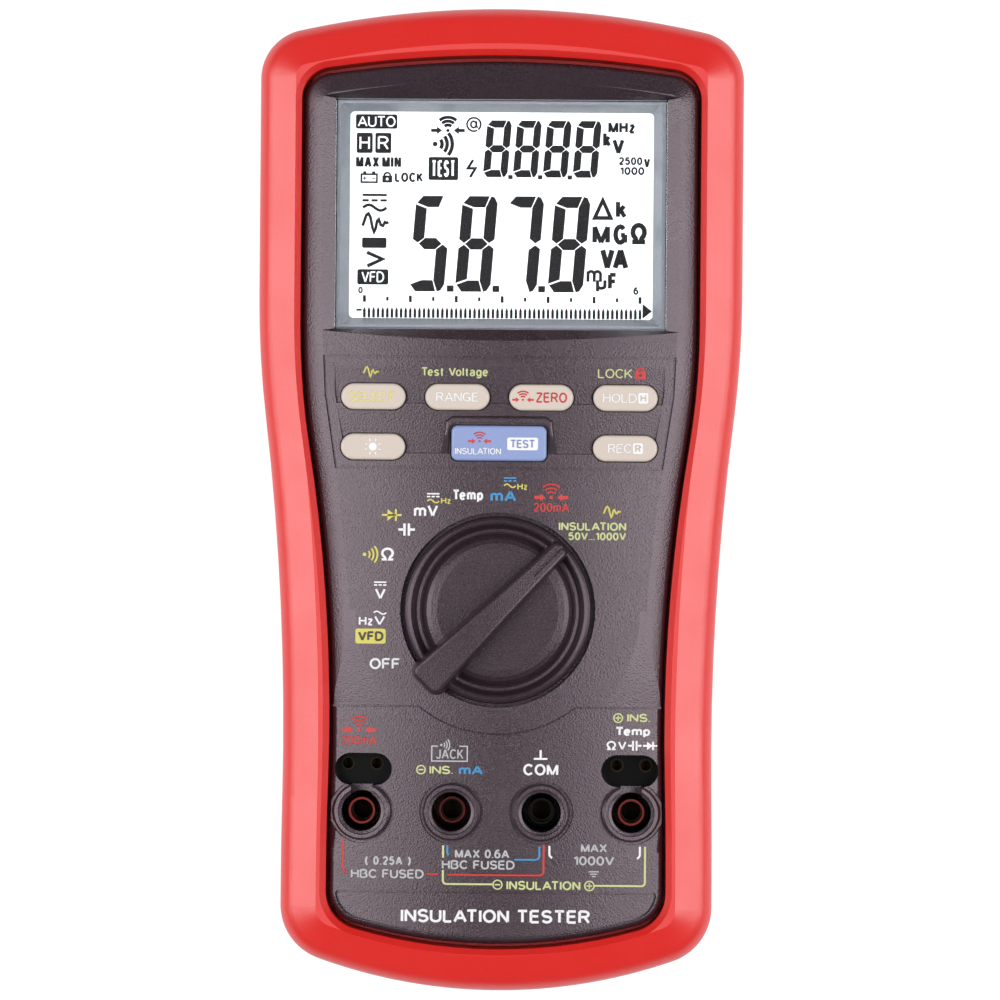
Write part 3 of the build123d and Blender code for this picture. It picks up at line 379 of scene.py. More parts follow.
# %% Lit display
def lit_panel():
    """White display panel that gives off its own light."""
    material = bpy.data.materials.new("lit_panel")
    material.use_nodes = True
    make, join = material.node_tree.nodes.new, material.node_tree.links.new
    body = material.node_tree.nodes["Principled BSDF"]
    body.inputs["Roughness"].default_value = 0.35
    body.inputs["Base Color"].default_value = (0.48, 0.50, 0.51, 1.0)
    cloud = make("ShaderNodeGroup")
    cloud.node_tree = DRIFT
    cloud.inputs["Scale"].default_value = 30.0
    mix = make("ShaderNodeMix")
    mix.data_type = "RGBA"
    mix.inputs["A"].default_value = (0.97, 0.99, 1.0, 1.0)
    mix.inputs["B"].default_value = (1.0, 1.0, 1.0, 1.0)
    join(cloud.outputs["Cloud"], mix.inputs["Factor"])
    join(mix.outputs["Result"], body.inputs["Emission Color"])
    body.inputs["Emission Strength"].default_value = 0.75
    return material


display_white = lit_panel()

# %% [markdown]
# The window is a clear sheet. Light that only casts a shadow would be stopped by ordinary glass
# shading, so shadow rays pass straight through it.

# %% Clear window
def clear_sheet():
    """Clear polished plastic that doesn't darken what is under it."""
    material = bpy.data.materials.new("clear_sheet")
    material.use_nodes = True
    make, join = material.node_tree.nodes.new, material.node_tree.links.new
    body = material.node_tree.nodes["Principled BSDF"]
    body.inputs["Transmission Weight"].default_value = 1.0
    body.inputs["IOR"].default_value = 1.49
    body.inputs["Base Color"].default_value = (0.97, 0.985, 1.0, 1.0)
    smear = make("ShaderNodeGroup")
    smear.node_tree = DRIFT
    smear.inputs["Scale"].default_value = 90.0
    dull = make("ShaderNodeMapRange")
    dull.inputs["To Min"].default_value, dull.inputs["To Max"].default_value = 0.0, 0.04
    path = make("ShaderNodeLightPath")
    through = make("ShaderNodeBsdfTransparent")
    choose = make("ShaderNodeMixShader")
    join(smear.outputs["Cloud"], dull.inputs["Value"])
    join(dull.outputs["Result"], body.inputs["Roughness"])
    join(path.outputs["Is Shadow Ray"], choose.inputs[0])
    join(body.outputs[0], choose.inputs[1])
    join(through.outputs[0], choose.inputs[2])
    join(choose.outputs[0], material.node_tree.nodes["Material Output"].inputs["Surface"])
    return material


window_clear = clear_sheet()

# %% [markdown]
# Now each node of the model gets its finish. A node keeps its mesh and its place, and only its
# material slot changes.

# %% Finish the model's nodes
FINISHES = {
    holster_red: ["holster"],
    case_charcoal: ["front_case", "rear_case", "battery_door"],
    knob_charcoal: ["selector_knob"],
    key_cream: ["select_key", "range_key", "zero_key", "hold_key", "backlight_key", "record_key"],
    button_blue: ["test_button"],
    stand_charcoal: ["tilt_stand"],
    soft_black: ["stand_pads", "case_seal", "shaft_seal", "zebra_strips", "selector_rotor"],
    shiny_black: [
        "common_jack_sleeve", "remote_socket_blocks", "board_spacers", "board_link",
        "test_transformer", "range_relays", "circuit_chips", "buzzer",
    ],
    sleeve_red: ["resistance_jack_sleeve", "milliamp_jack_sleeve", "voltage_jack_sleeve"],
    display_surround: ["lcd_frame"],
    display_white: ["lcd_glass"],
    window_clear: ["window_lens"],
    light_guide: ["backlight_guide", "backlight_lamps"],
    silicone_grey: ["keypad_mat"],
    board_green: ["main_board", "display_board"],
    cell_sleeve: ["battery_cells"],
    capacitor_blue: ["film_capacitors"],
    fuse_white: ["fuses"],
    contact_painted_shade: ["jack_contacts", "remote_socket_contacts"],
    contact_brass: ["fuse_clips", "selector_wipers"],
    screw_steel: [
        "case_screws", "battery_door_screws", "rotor_screw", "detent_spring", "battery_springs",
        "battery_plates",
    ],
}
for finish, names in FINISHES.items():
    for name in names:
        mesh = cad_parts[name].data
        mesh.materials.clear()
        mesh.materials.append(finish)
unfinished = set(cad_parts) - {name for names in FINISHES.values() for name in names}
print("nodes without a finish:", sorted(unfinished))

# %% [markdown]
# Legends are pad printed: a thin layer of opaque ink that follows the surface. A stroke is a
# curve with a round section, pressed flat. A patch is a ring of points, filled and thickened.
# Lettering is strokes, fitted to the height and width of the printed word. Each mark is then
# dropped on to the part it is printed on.

# %% Arcs for letters and signs
def bow(x, y, across, up, start, end, steps=7):
    """Points along an oval arc, with angles in degrees."""
    angles = [radians(start + (end - start) * step / steps) for step in range(steps + 1)]
    return [(x + across * cos(a), y + up * sin(a)) for a in angles]


def ring(x, y, across, up):
    """A whole oval, closed on itself."""
    return bow(x, y, across, up, 90, 455, 14)


# %% [markdown]
# Instrument legends are set in a plain grotesque: strokes of one width with square ends. The
# alphabet is drawn the way a sign writer would, as centre lines in a box one unit high, with each
# letter's width first. One stroke width then suits a bold, a light or a squeezed word.

# %% Alphabet of centre lines
STEM = [(0, 0), (0, 1)]
ALPHABET = {
    "A": (0.70, [(0, 0), (0.35, 1)], [(0.35, 1), (0.70, 0)], [(0.12, 0.32), (0.58, 0.32)]),
    "B": (0.58, STEM, [(0, 1), *bow(0.32, 0.77, 0.22, 0.23, 90, -90), (0, 0.54)],
          [(0, 0.54), *bow(0.32, 0.27, 0.26, 0.27, 90, -90), (0, 0)]),
    "C": (0.62, bow(0.33, 0.5, 0.33, 0.5, 40, 320, 12)),
    "D": (0.62, STEM, [(0, 1), *bow(0.26, 0.5, 0.36, 0.5, 90, -90, 9), (0, 0)]),
    "E": (0.50, STEM, [(0, 1), (0.5, 1)], [(0, 0.53), (0.46, 0.53)], [(0, 0), (0.5, 0)]),
    "F": (0.48, STEM, [(0, 1), (0.48, 1)], [(0, 0.52), (0.42, 0.52)]),
    "G": (0.66, bow(0.33, 0.5, 0.33, 0.5, 42, 352, 13), [(0.38, 0.46), (0.66, 0.46)],
          [(0.66, 0.5), (0.66, 0)]),
    "H": (0.58, STEM, [(0.58, 0), (0.58, 1)], [(0, 0.53), (0.58, 0.53)]),
    "I": (0.0, STEM),
    "J": (0.40, [(0.4, 1), (0.4, 0.26), *bow(0.2, 0.24, 0.2, 0.24, 0, -170)]),
    "K": (0.58, STEM, [(0, 0.34), (0.54, 1)], [(0.2, 0.56), (0.58, 0)]),
    "L": (0.46, STEM, [(0, 0), (0.46, 0)]),
    "M": (0.72, STEM, [(0, 1), (0.36, 0)], [(0.36, 0), (0.72, 1)], [(0.72, 1), (0.72, 0)]),
    "N": (0.58, STEM, [(0, 1), (0.58, 0)], [(0.58, 0), (0.58, 1)]),
    "O": (0.68, ring(0.34, 0.5, 0.34, 0.5)),
    "R": (0.58, STEM, [(0, 1), *bow(0.3, 0.75, 0.26, 0.25, 90, -90), (0, 0.5)], [(0.32, 0.5), (0.58, 0)]),
    "S": (0.54, [*bow(0.27, 0.75, 0.26, 0.25, 20, 270, 9), *bow(0.27, 0.26, 0.27, 0.26, 90, -160, 9)]),
    "T": (0.58, [(0, 1), (0.58, 1)], [(0.29, 1), (0.29, 0)]),
    "U": (0.58, [(0, 1), (0, 0.3), *bow(0.29, 0.29, 0.29, 0.29, 180, 360), (0.58, 1)]),
    "V": (0.62, [(0, 1), (0.31, 0)], [(0.31, 0), (0.62, 1)]),
    "X": (0.60, [(0, 0), (0.6, 1)], [(0, 1), (0.6, 0)]),
    "Z": (0.54, [(0, 1), (0.54, 1)], [(0.54, 1), (0, 0)], [(0, 0), (0.54, 0)]),
    "a": (0.42, [*bow(0.21, 0.52, 0.19, 0.2, 160, 0), (0.4, 0)], ring(0.2, 0.2, 0.2, 0.2)),
    "e": (0.44, bow(0.22, 0.36, 0.22, 0.36, 0, 320, 11), [(0, 0.37), (0.44, 0.37)]),
    "g": (0.44, ring(0.22, 0.36, 0.22, 0.36),
          [(0.44, 0.72), (0.44, -0.04), *bow(0.22, -0.06, 0.22, 0.22, 0, -155)]),
    "k": (0.42, STEM, [(0, 0.26), (0.38, 0.72)], [(0.16, 0.45), (0.42, 0)]),
    "l": (0.0, STEM),
    "m": (0.74, [(0, 0), (0, 0.72)], [*bow(0.185, 0.5, 0.185, 0.22, 180, 0), (0.37, 0)],
          [*bow(0.555, 0.5, 0.185, 0.22, 180, 0), (0.74, 0)]),
    "o": (0.46, ring(0.23, 0.36, 0.23, 0.36)),
    "p": (0.44, [(0, -0.28), (0, 0.72)], ring(0.22, 0.36, 0.22, 0.36)),
    "s": (0.38, [*bow(0.19, 0.54, 0.18, 0.18, 20, 270, 9), *bow(0.19, 0.18, 0.19, 0.18, 90, -160, 9)]),
    "t": (0.26, [(0.12, 0.95), (0.12, 0.12), *bow(0.22, 0.12, 0.1, 0.12, 180, 270, 4)],
          [(0, 0.7), (0.26, 0.7)]),
    "z": (0.38, [(0, 0.72), (0.38, 0.72)], [(0.38, 0.72), (0, 0)], [(0, 0), (0.38, 0)]),
    "µ": (0.42, [(0, -0.28), (0, 0.72)], [(0, 0.22), *bow(0.21, 0.21, 0.21, 0.21, 180, 360), (0.42, 0.72)]),
    "Ω": (0.80, [(0, 0), (0.27, 0), *bow(0.4, 0.58, 0.36, 0.42, 238, -58, 12), (0.53, 0), (0.8, 0)]),
    "@": (0.92, bow(0.46, 0.5, 0.46, 0.5, -50, 300, 14), ring(0.44, 0.5, 0.18, 0.24),
          [(0.64, 0.74), (0.62, 0.34), (0.74, 0.28)]),
    "0": (0.50, ring(0.25, 0.5, 0.25, 0.5)),
    "1": (0.24, [(0.24, 0), (0.24, 1)], [(0.24, 1), (0, 0.78)]),
    "2": (0.50, [*bow(0.25, 0.72, 0.25, 0.28, 165, -35), (0, 0)], [(0, 0), (0.5, 0)]),
    "5": (0.50, [(0.46, 1), (0.08, 1)], [(0.08, 1), (0.03, 0.52)],
          [(0.03, 0.52), *bow(0.25, 0.33, 0.25, 0.33, 110, -155, 9)]),
    "6": (0.50, ring(0.25, 0.32, 0.25, 0.32), bow(0.3, 0.42, 0.3, 0.58, 60, 185)),
    ".": (0.0, [(0, -0.03), (0, 0.07)]),
    "(": (0.2, bow(0.5, 0.45, 0.5, 0.7, 127, 233)),
    ")": (0.2, bow(-0.3, 0.45, 0.5, 0.7, 53, -53)),
    " ": (0.16,),
}

# %% [markdown]
# A word is its letters' centre lines, stretched to the printed height and width. Some pairs, such
# as a T after an A, look too far apart at the common gap, so they are set closer.

# %% Words from the alphabet
SNUG = {"AT": 0.16, "LA": 0.04, "Te": 0.12, "Vo": 0.1}


def lettering(words, x, y, width, height, lift=0.0, stroke=0.19, apart=0.09):
    """A word in a box of the given width and height. stroke and apart are shares of the height."""
    thick = stroke * height
    glyphs = [ALPHABET[letter] for letter in words]
    points = [point for glyph in glyphs for line in glyph[1:] for point in line]
    low, high = min(v for _, v in points), max(v for _, v in points)
    scale_up = (height - thick) / (high - low)
    gaps = [thick + (apart - SNUG.get(words[i : i + 2], 0.0)) * height for i in range(len(words) - 1)]
    scale = (width - thick - sum(gaps)) / sum(glyph[0] for glyph in glyphs)
    left = x - width / 2 + thick / 2
    foot = y - height / 2 + thick / 2
    lines = []
    for glyph, gap in zip(glyphs, [*gaps, 0.0]):
        for line in glyph[1:]:
            lines.append([(left + scale * u, foot + scale_up * (v - low)) for u, v in line])
        left += scale * glyph[0] + gap
    return ink_strokes(lines, thick, lift)


# %% [markdown]
# Strokes are drawn as curves with a six-sided section, and then pressed flat to the thickness of
# ink. At a corner the section is widened, as in a mitred frame, so that the stroke doesn't thin.

# %% Strokes and patches of ink
SIDES = 1.1  # makes up for the flat sides of the section, which is narrower than a round one
WIDEST_MITRE = 2.2


def mitres(points, closed):
    """How much wider the stroke must be at each point to keep its width through the corner."""
    spots = [Vector(point) for point in points]
    widen = []
    for i, spot in enumerate(spots):
        if closed or 0 < i < len(spots) - 1:
            turn = (spot - spots[i - 1]).angle(spots[(i + 1) % len(spots)] - spot, 0.0)
            widen.append(min(1.0 / cos(turn / 2), WIDEST_MITRE))
        else:
            widen.append(1.0)
    return widen


def ink_strokes(lines, width, lift=0.0, closed=False):
    """Printed strokes of one width, each along its own row of points."""
    curve = bpy.data.curves.new("strokes", "CURVE")
    curve.dimensions = "3D"
    curve.twist_mode = "Z_UP"
    curve.bevel_depth = width * MM / 2 * SIDES
    curve.bevel_resolution = 1
    curve.use_fill_caps = True
    for points in lines:
        path = curve.splines.new("POLY")
        path.points.add(len(points) - 1)
        path.use_cyclic_u = closed
        for point, (x, y), widen in zip(path.points, points, mitres(points, closed)):
            point.co = (x * MM, y * MM, 0.0, 1.0)
            point.radius = widen
    piece = bpy.data.objects.new("strokes", curve)
    bpy.context.scene.collection.objects.link(piece)
    bpy.ops.object.select_all(action="DESELECT")
    piece.select_set(True)
    bpy.context.view_layer.objects.active = piece
    bpy.ops.object.convert(target="MESH")
    piece = bpy.context.object
    flatten = Matrix.Diagonal((1.0, 1.0, INK / width, 1.0))
    piece.data.transform(Matrix.Translation((0.0, 0.0, (lift + INK / 2) * MM)) @ flatten)
    return piece


def ink_line(points, width, closed=False):
    """One printed stroke."""
    return ink_strokes([points], width, closed=closed)


def ink_patch(points, lift=0.0):
    """A filled patch with the points as its corners."""
    bpy.ops.mesh.primitive_circle_add(vertices=len(points), radius=MM, fill_type="NGON")
    piece = bpy.context.object
    for vertex, (x, y) in zip(piece.data.vertices, points):
        vertex.co = (x * MM, y * MM, lift * MM)
    body = piece.modifiers.new("body", "SOLIDIFY")
    body.thickness = INK * MM
    body.offset = 1.0
    bpy.ops.object.modifier_apply(modifier=body.name)
    bpy.ops.object.mode_set(mode="EDIT")
    bpy.ops.mesh.select_all(action="SELECT")
    bpy.ops.mesh.normals_make_consistent(inside=False)
    bpy.ops.object.mode_set(mode="OBJECT")
    lowest = min(v.co.z for v in piece.data.vertices)
    piece.data.transform(Matrix.Translation((0.0, 0.0, lift * MM - lowest)))
    return piece


def arc(x, y, radius, start, end, steps=8):
    """Points along a round arc, with angles in degrees."""
    return bow(x, y, radius, radius, start, end, steps)


def disc(x, y, radius, lift=0.0):
    """A round patch."""
    return ink_patch(arc(x, y, radius, 0, 345, 23), lift)


def round_patch(x, y, width, height, radius):
    """A rectangular patch with round corners."""
    w, h = width / 2 - radius, height / 2 - radius
    points = []
    for sx, sy, start in ((1, 1, 0), (-1, 1, 90), (-1, -1, 180), (1, -1, 270)):
        points += arc(x + sx * w, y + sy * h, radius, start, start + 90, 4)
    return ink_patch(points)


def sliced(patch, start, end, count):
    """Cuts a wide patch into strips across x, so that it can follow a bend in the surface."""
    bpy.ops.object.mode_set(mode="EDIT")
    for step in range(count):
        bpy.ops.mesh.select_all(action="SELECT")
        x = start + (end - start) * step / (count - 1)
        bpy.ops.mesh.bisect(plane_co=(x * MM, 0.0, 0.0), plane_no=(1.0, 0.0, 0.0))
    bpy.ops.object.mode_set(mode="OBJECT")
    return patch


def joined(name, marks, material, body, target=None, level=0.0):
    """Joins the marks to one piece, drops it on to a node or a level, and lets it ride."""
    bpy.ops.object.select_all(action="DESELECT")
    for mark in marks:
        mark.select_set(True)
    bpy.context.view_layer.objects.active = marks[0]
    if len(marks) > 1:
        bpy.ops.object.join()
    piece = bpy.context.object
    piece.name = piece.data.name = name
    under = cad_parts.get(target)
    for vertex in piece.data.vertices:
        height = level * MM
        if under is not None:
            start = Vector((vertex.co.x, vertex.co.y, 0.1))
            hit, place, _, _ = under.ray_cast(start, Vector((0.0, 0.0, -1.0)))
            height = place.z if hit else CASE_TOP * MM
        vertex.co.z += height
    piece.data.materials.clear()
    piece.data.materials.append(material)
    bpy.ops.object.select_all(action="DESELECT")
    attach(piece, body)
    print(name, "faces:", len(piece.data.polygons))
    return piece


# %% [markdown]
# Ink has its own finish. It is thin, opaque and slightly satin, and its edge shows the grain of
# the part below, so the shared grain is used with a very small depth. Its tone is a tenth darker
# in the grain's valleys, which is painted shade in the hollows.

# %% Inks
def ink(name, tone):
    """Opaque satin printing ink."""
    # The ink's valley tone is a tenth darker: painted shade in the grain's hollows.
    ink_valley_shade = tuple(channel * 0.9 for channel in tone)
    return moulding("ink_" + name, tone, ink_valley_shade, (0.4, 0.5), 2400.0, 0.02)


ink_white = ink("white", (0.80, 0.80, 0.80))
ink_yellow = ink("yellow", (0.62, 0.55, 0.11))
ink_pale_green = ink("pale_green", (0.56, 0.61, 0.27))
ink_red = ink("red", (0.55, 0.035, 0.03))
ink_blue = ink("blue", (0.05, 0.25, 0.50))
ink_dark = ink("dark", (0.05, 0.045, 0.05))
ink_grey = ink("grey", (0.46, 0.46, 0.47))
ink_cream = ink("cream", (0.57, 0.49, 0.43))
ink_test_blue = ink("test_blue", (0.20, 0.25, 0.55))
ink_soft_yellow = ink("soft_yellow", (0.74, 0.66, 0.20))

# %% [markdown]
# The symbols on meters are a small alphabet: an alternating wave, a direct-current bar, a diode,
# a capacitor, sound waves for continuity, and the zeroing sign. Each gets a maker, so that every
# use of a symbol is one line.

# %% Symbol alphabet
def wave_sign(x, y, width, height, line):
    """One swing of an alternating wave."""
    steps = 14
    points = []
    for step in range(steps + 1):
        t = step / steps
        points.append((x + width * (t - 0.5), y + height / 2 * sin(2 * pi * t)))
    return [ink_line(points, line)]


def direct_sign(x, y, width, line, gap):
    """A full bar above a row of three dashes."""
    dash = width / 3.8
    marks = [round_patch(x, y, width, line, line / 4)]
    for step in (-1, 0, 1):
        marks.append(round_patch(x + step * (width - dash) / 2, y - gap, dash, line, line / 4))
    return marks


def damped_sign(x, y, width, height, line):
    """A wave that dies away: the insulation and low-pass sign."""
    shape = [(-0.5, -0.15), (-0.44, 0.1), (-0.36, 0.42), (-0.28, 0.5), (-0.2, 0.3), (-0.12, -0.25),
             (-0.06, -0.5), (0.0, -0.3), (0.06, 0.12), (0.12, 0.2), (0.2, -0.1), (0.28, -0.15),
             (0.36, 0.05), (0.43, 0.0), (0.5, 0.05)]
    return [ink_line([(x + u * width, y + v * height) for u, v in shape], line)]


def diode_sign(x, y, size, line):
    """A triangle against a bar, on a line."""
    h = size * 0.3
    return [
        ink_patch([(x - 0.22 * size, y - h), (x + 0.16 * size, y), (x - 0.22 * size, y + h)]),
        round_patch(x + 0.2 * size, y, line, 2 * h, line / 4),
        round_patch(x, y, size, line, line / 4),
    ]


def capacitor_sign(x, y, size, line):
    """Two plates with a lead each."""
    marks = []
    for side in (1, -1):
        marks.append(round_patch(x + side * 0.13 * size, y, line, 0.72 * size, line / 4))
        marks.append(round_patch(x + side * 0.32 * size, y, 0.34 * size, line, line / 4))
    return marks


def sound_sign(x, y, size, line):
    """A dot and three arcs that spread to the right."""
    marks = [disc(x, y, 0.13 * size)]
    for radius in (0.38, 0.66, 0.94):
        marks.append(ink_line(arc(x, y, radius * size, -40, 40, 6), line))
    return marks


def zero_sign(x, y, size, line):
    """The zeroing sign: arcs above a dot, and an arrow from each side."""
    marks = [disc(x, y, 0.13 * size)]
    for radius in (0.42, 0.72, 1.02):
        marks.append(ink_line(arc(x, y, radius * size, 50, 130, 6), line))
    tip, root, tail = 0.45 * size, 0.85 * size, 1.3 * size
    half_head = 0.3 * size
    for side in (1, -1):
        head = [(x + side * tip, y), (x + side * root, y + half_head), (x + side * root, y - half_head)]
        marks.append(ink_patch(head))
        marks.append(round_patch(x + side * (root + tail) / 2, y, tail - root, 0.25 * size, 0.03))
    return marks


def polarity_sign(x, y, radius, plus):
    """A ringed plus or minus."""
    line = 0.28
    marks = [ink_line(arc(x, y, radius, 0, 345, 23), line, closed=True)]
    marks.append(round_patch(x, y, 1.2 * radius, line, line / 4))
    if plus:
        marks.append(round_patch(x, y, line, 1.2 * radius, line / 4))
    return marks


# %% [markdown]
# The display's figures are made of seven segments with mitred ends. The figure leans by a few
# degrees. A segment is a patch whose corners are found on the figure's frame. The lower half of a
# figure mirrors the upper half, so only four segments need corners of their own.

# %% Seven-segment figures
LEAN = 0.08


def segment_corners(letter, w, h, t):
    """Corners of one segment of an upright figure of width w, height h and stroke t."""
    gap = t * 0.08
    mid = h / 2
    top = [
        (0.1 * t, h - 0.62 * t), (0.6 * t, h), (w - 0.75 * t, h), (w - t - gap, h - t), (t + gap, h - t),
    ]
    right = [
        (w - 0.6 * t, h), (w - 0.3 * t, h - 0.1 * t), (w, h - 0.65 * t), (w, mid + 0.4 * t),
        (w - 0.45 * t, mid + gap), (w - t, mid + 0.5 * t), (w - t, h - t),
    ]
    left = [
        (0, h - 0.75 * t), (t, h - t - 1.5 * gap), (t, mid + 0.5 * t), (0.45 * t, mid + gap),
        (0, mid + 0.4 * t),
    ]
    middle = [
        (0.55 * t, mid), (t + gap, mid + t / 2), (w - t - gap, mid + t / 2),
        (w - 0.55 * t, mid), (w - t - gap, mid - t / 2), (t + gap, mid - t / 2),
    ]
    turns = {
        "a": top, "b": right, "f": left, "g": middle,
        "c": [(x, h - y) for x, y in right],
        "d": [(x, h - y) for x, y in top],
        "e": [(x, h - y) for x, y in left],
    }
    return turns[letter]


def figure(segments, x, y, w, h, t):
    """A leaning figure whose foot starts at x, y."""
    marks = []
    for letter in segments:
        corners = [(x + u + LEAN * v, y + v) for u, v in segment_corners(letter, w, h, t)]
        marks.append(ink_patch(corners))
    return marks


display_marks = []
for step in range(4):
    display_marks += figure("abcdefg", -4.05 + 6.35 * step, 68.45, 5.2, 12.05, 1.55)
for step in range(3):
    display_marks.append(round_patch(1.85 + 6.3 * step, 68.5, 0.95, 0.9, 0.1))
for step, lit in enumerate(("acdfg", "abcdefg", "abc", "abcdefg")):
    display_marks += figure(lit, -19.65 + 9.83 * step, 44.1, 7.5, 20.3, 2.4)
for step in range(3):
    display_marks.append(round_patch(-10.75 + 9.7 * step, 44.75, 1.45, 1.35, 0.15))
print("figure marks:", len(display_marks))

# %% [markdown]
# Small signs, units and the bar graph fill the rest of the display. Signs in a dark box are a
# patch with light lettering lifted just above it.

# %% Display signs
display_words = [
    ("MAX", -28.5, 71.5, 4.9, 2.5), ("MIN", -23.4, 71.5, 4.0, 2.5), ("LOCK", -19.7, 68.3, 6.0, 2.05),
    ("MHz", 25.4, 79.15, 5.7, 2.5), ("k", 22.3, 76.6, 1.65, 3.3),
    ("V", 24.7, 75.1, 2.5, 3.5), ("2500", 27.3, 72.05, 5.0, 1.7), ("V", 30.8, 71.65, 1.3, 2.15),
    ("1000", 27.65, 69.95, 5.2, 1.7), ("0", -29.8, 44.3, 0.95, 1.4), ("6", 28.65, 44.5, 1.05, 1.6),
    ("k", 25.45, 61.8, 2.3, 4.0), ("M", 21.2, 56.4, 3.65, 4.2), ("G", 25.25, 56.45, 2.9, 4.3),
    ("Ω", 29.15, 56.7, 3.7, 4.5), ("V", 22.55, 51.25, 3.0, 4.8), ("A", 25.35, 51.25, 3.3, 4.8),
    ("m", 19.8, 47.5, 3.25, 2.8), ("µ", 21.3, 45.55, 2.2, 3.0), ("F", 23.75, 46.45, 2.0, 3.7),
]
for words, x, y, width, height in display_words:
    display_marks.append(lettering(words, x, y, width, height, stroke=0.21))
display_marks.append(lettering("@", -6.0, 79.6, 3.3, 3.2, stroke=0.11))
boxed_words = [
    ("AUTO", -26.65, 80.1, 8.8, 3.05, 8.0, 2.3), ("H", -29.15, 75.55, 3.4, 4.3, 2.2, 2.9),
    ("R", -25.2, 75.55, 3.4, 4.3, 2.3, 2.9), ("TEST", -12.4, 70.2, 6.3, 4.9, 5.1, 3.5),
    ("VFD", -27.2, 47.1, 6.6, 3.25, 4.8, 2.3),
]
light_marks = []
for words, x, y, box_w, box_h, width, height in boxed_words:
    display_marks.append(round_patch(x, y, box_w, box_h, 0.4))
    light_marks.append(lettering(words, x, y, width, height, lift=OVER, stroke=0.125, apart=0.07))
display_marks += zero_sign(-11.5, 78.3, 2.75, 0.62)
display_marks += sound_sign(-14.2, 75.4, 3.9, 0.7)
display_marks += direct_sign(-26.95, 64.5, 5.2, 0.5, 1.15)
display_marks += wave_sign(-26.9, 61.8, 5.0, 1.2, 0.55)
display_marks += damped_sign(-26.7, 58.55, 5.5, 4.0, 0.55)
display_marks.append(round_patch(-26.95, 54.35, 5.2, 2.2, 0.35))
display_marks.append(ink_line([(-28.5, 52.3), (-25.2, 50.9), (-28.4, 49.4)], 0.7))
display_marks.append(ink_line([(19.8, 59.95), (21.5, 63.7), (23.2, 59.95)], 0.75, closed=True))
display_marks.append(ink_line([(-6.1, 72.1), (-7.2, 70.3), (-5.6, 70.3), (-6.7, 68.4)], 0.5))
battery_outline = [(-29.8, 67.2), (-26.5, 67.2), (-26.5, 68.9), (-29.8, 68.9)]
display_marks.append(ink_line(battery_outline, 0.36, closed=True))
for x in (-29.1, -27.2):
    display_marks.append(round_patch(x, 69.3, 0.7, 0.4, 0.08))
    display_marks.append(round_patch(x, 68.05, 0.75, 0.22, 0.04))
display_marks.append(round_patch(-29.1, 68.05, 0.22, 0.75, 0.04))
display_marks.append(round_patch(-24.3, 67.9, 2.1, 1.5, 0.2))
display_marks.append(ink_line(arc(-24.3, 68.6, 0.65, 0, 180), 0.35))
light_marks.append(disc(-24.3, 67.9, 0.28, lift=OVER))

# %% [markdown]
# Below the figures runs a bar graph: sixty-one slim bars with a scale of ticks above them, an
# arrow for a value past the end, and a minus sign. One bar is drawn and repeated at an even pitch.

# %% Bar graph
BAR_PITCH = 0.975
BAR_COUNT = 61
bar = ink_patch([(-29.22, 38.5), (-28.66, 38.5), (-28.66, 40.1), (-28.94, 40.8), (-29.22, 40.1)])
row = bar.modifiers.new("row", "ARRAY")
row.count = BAR_COUNT
row.use_relative_offset = False
row.use_constant_offset = True
row.constant_offset_displace = (BAR_PITCH * MM, 0.0, 0.0)
bpy.context.view_layer.objects.active = bar
bpy.ops.object.modifier_apply(modifier=row.name)
display_marks.append(bar)
for step in range(13):
    tall = 1.4 if step % 2 == 0 else 0.85
    wide = 0.62 if step % 2 == 0 else 0.5
    x = -28.95 + step * BAR_PITCH * 5
    display_marks.append(round_patch(x, 42.5, wide, tall, 0.08))
display_marks.append(ink_patch([(30.1, 38.6), (32.1, 40.2), (30.1, 41.8)]))
display_marks.append(round_patch(-30.1, 40.1, 1.15, 0.4, 0.08))

display_black = moulding(
    "display_black", (0.006, 0.004, 0.005), (0.004, 0.003, 0.003), (0.5, 0.6), 900.0, 0.004, 0.1
)
joined("display_segments", display_marks, display_black, "root", level=DISPLAY_TOP)
joined("display_reversed_signs", light_marks, display_white, "root", level=DISPLAY_TOP)

# %% [markdown]
# Around the selector stand the functions it chooses. Colour tells the user which key or jack
# belongs to a function: white for the main ones, yellow for those behind the select key, blue for
# current, red for the low resistance range.

# %% Selector legends
white, yellow, green, red, blue, grey, dark = [], [], [], [], [], [], []
white.append(lettering("mV", -15.3, -2.45, 5.1, 2.6))
white.append(lettering("Temp", -6.5, 0.7, 6.5, 2.8, stroke=0.165))
white.append(lettering("Ω", -23.35, -11.65, 3.0, 2.8))
white.append(lettering("V", -24.8, -20.05, 2.3, 2.4))
white.append(lettering("Hz", -27.8, -25.8, 3.0, 1.95))
white.append(lettering("V", -24.9, -25.7, 2.3, 2.05))
white.append(lettering("OFF", -23.7, -34.8, 6.5, 2.4))
white += capacitor_sign(-19.35, -6.45, 3.6, 0.5)
white += direct_sign(-13.8, 1.15, 2.65, 0.3, 0.6)
white += direct_sign(-24.85, -17.6, 2.6, 0.3, 0.6)
white += wave_sign(-24.85, -24.05, 2.7, 0.6, 0.32)
yellow += diode_sign(-22.5, -3.4, 4.2, 0.4)
yellow += wave_sign(-13.8, -0.4, 2.5, 0.7, 0.3)
yellow += wave_sign(2.35, 2.95, 2.5, 0.7, 0.3)
yellow.append(lettering("Hz", -11.1, -0.3, 2.1, 1.35))
yellow.append(lettering("Hz", 5.0, 2.8, 2.15, 1.4))
yellow += sound_sign(-28.2, -11.75, 2.9, 0.4)
yellow += damped_sign(24.0, -2.4, 3.6, 2.3, 0.35)
yellow.append(sliced(round_patch(-26.8, -29.0, 6.4, 3.15, 0.45), -29.6, -24.0, 8))
dark.append(lettering("VFD", -26.75, -29.0, 5.3, 2.0, lift=OVER))
green.append(lettering("INSULATION", 19.85, -5.5, 14.2, 1.8))
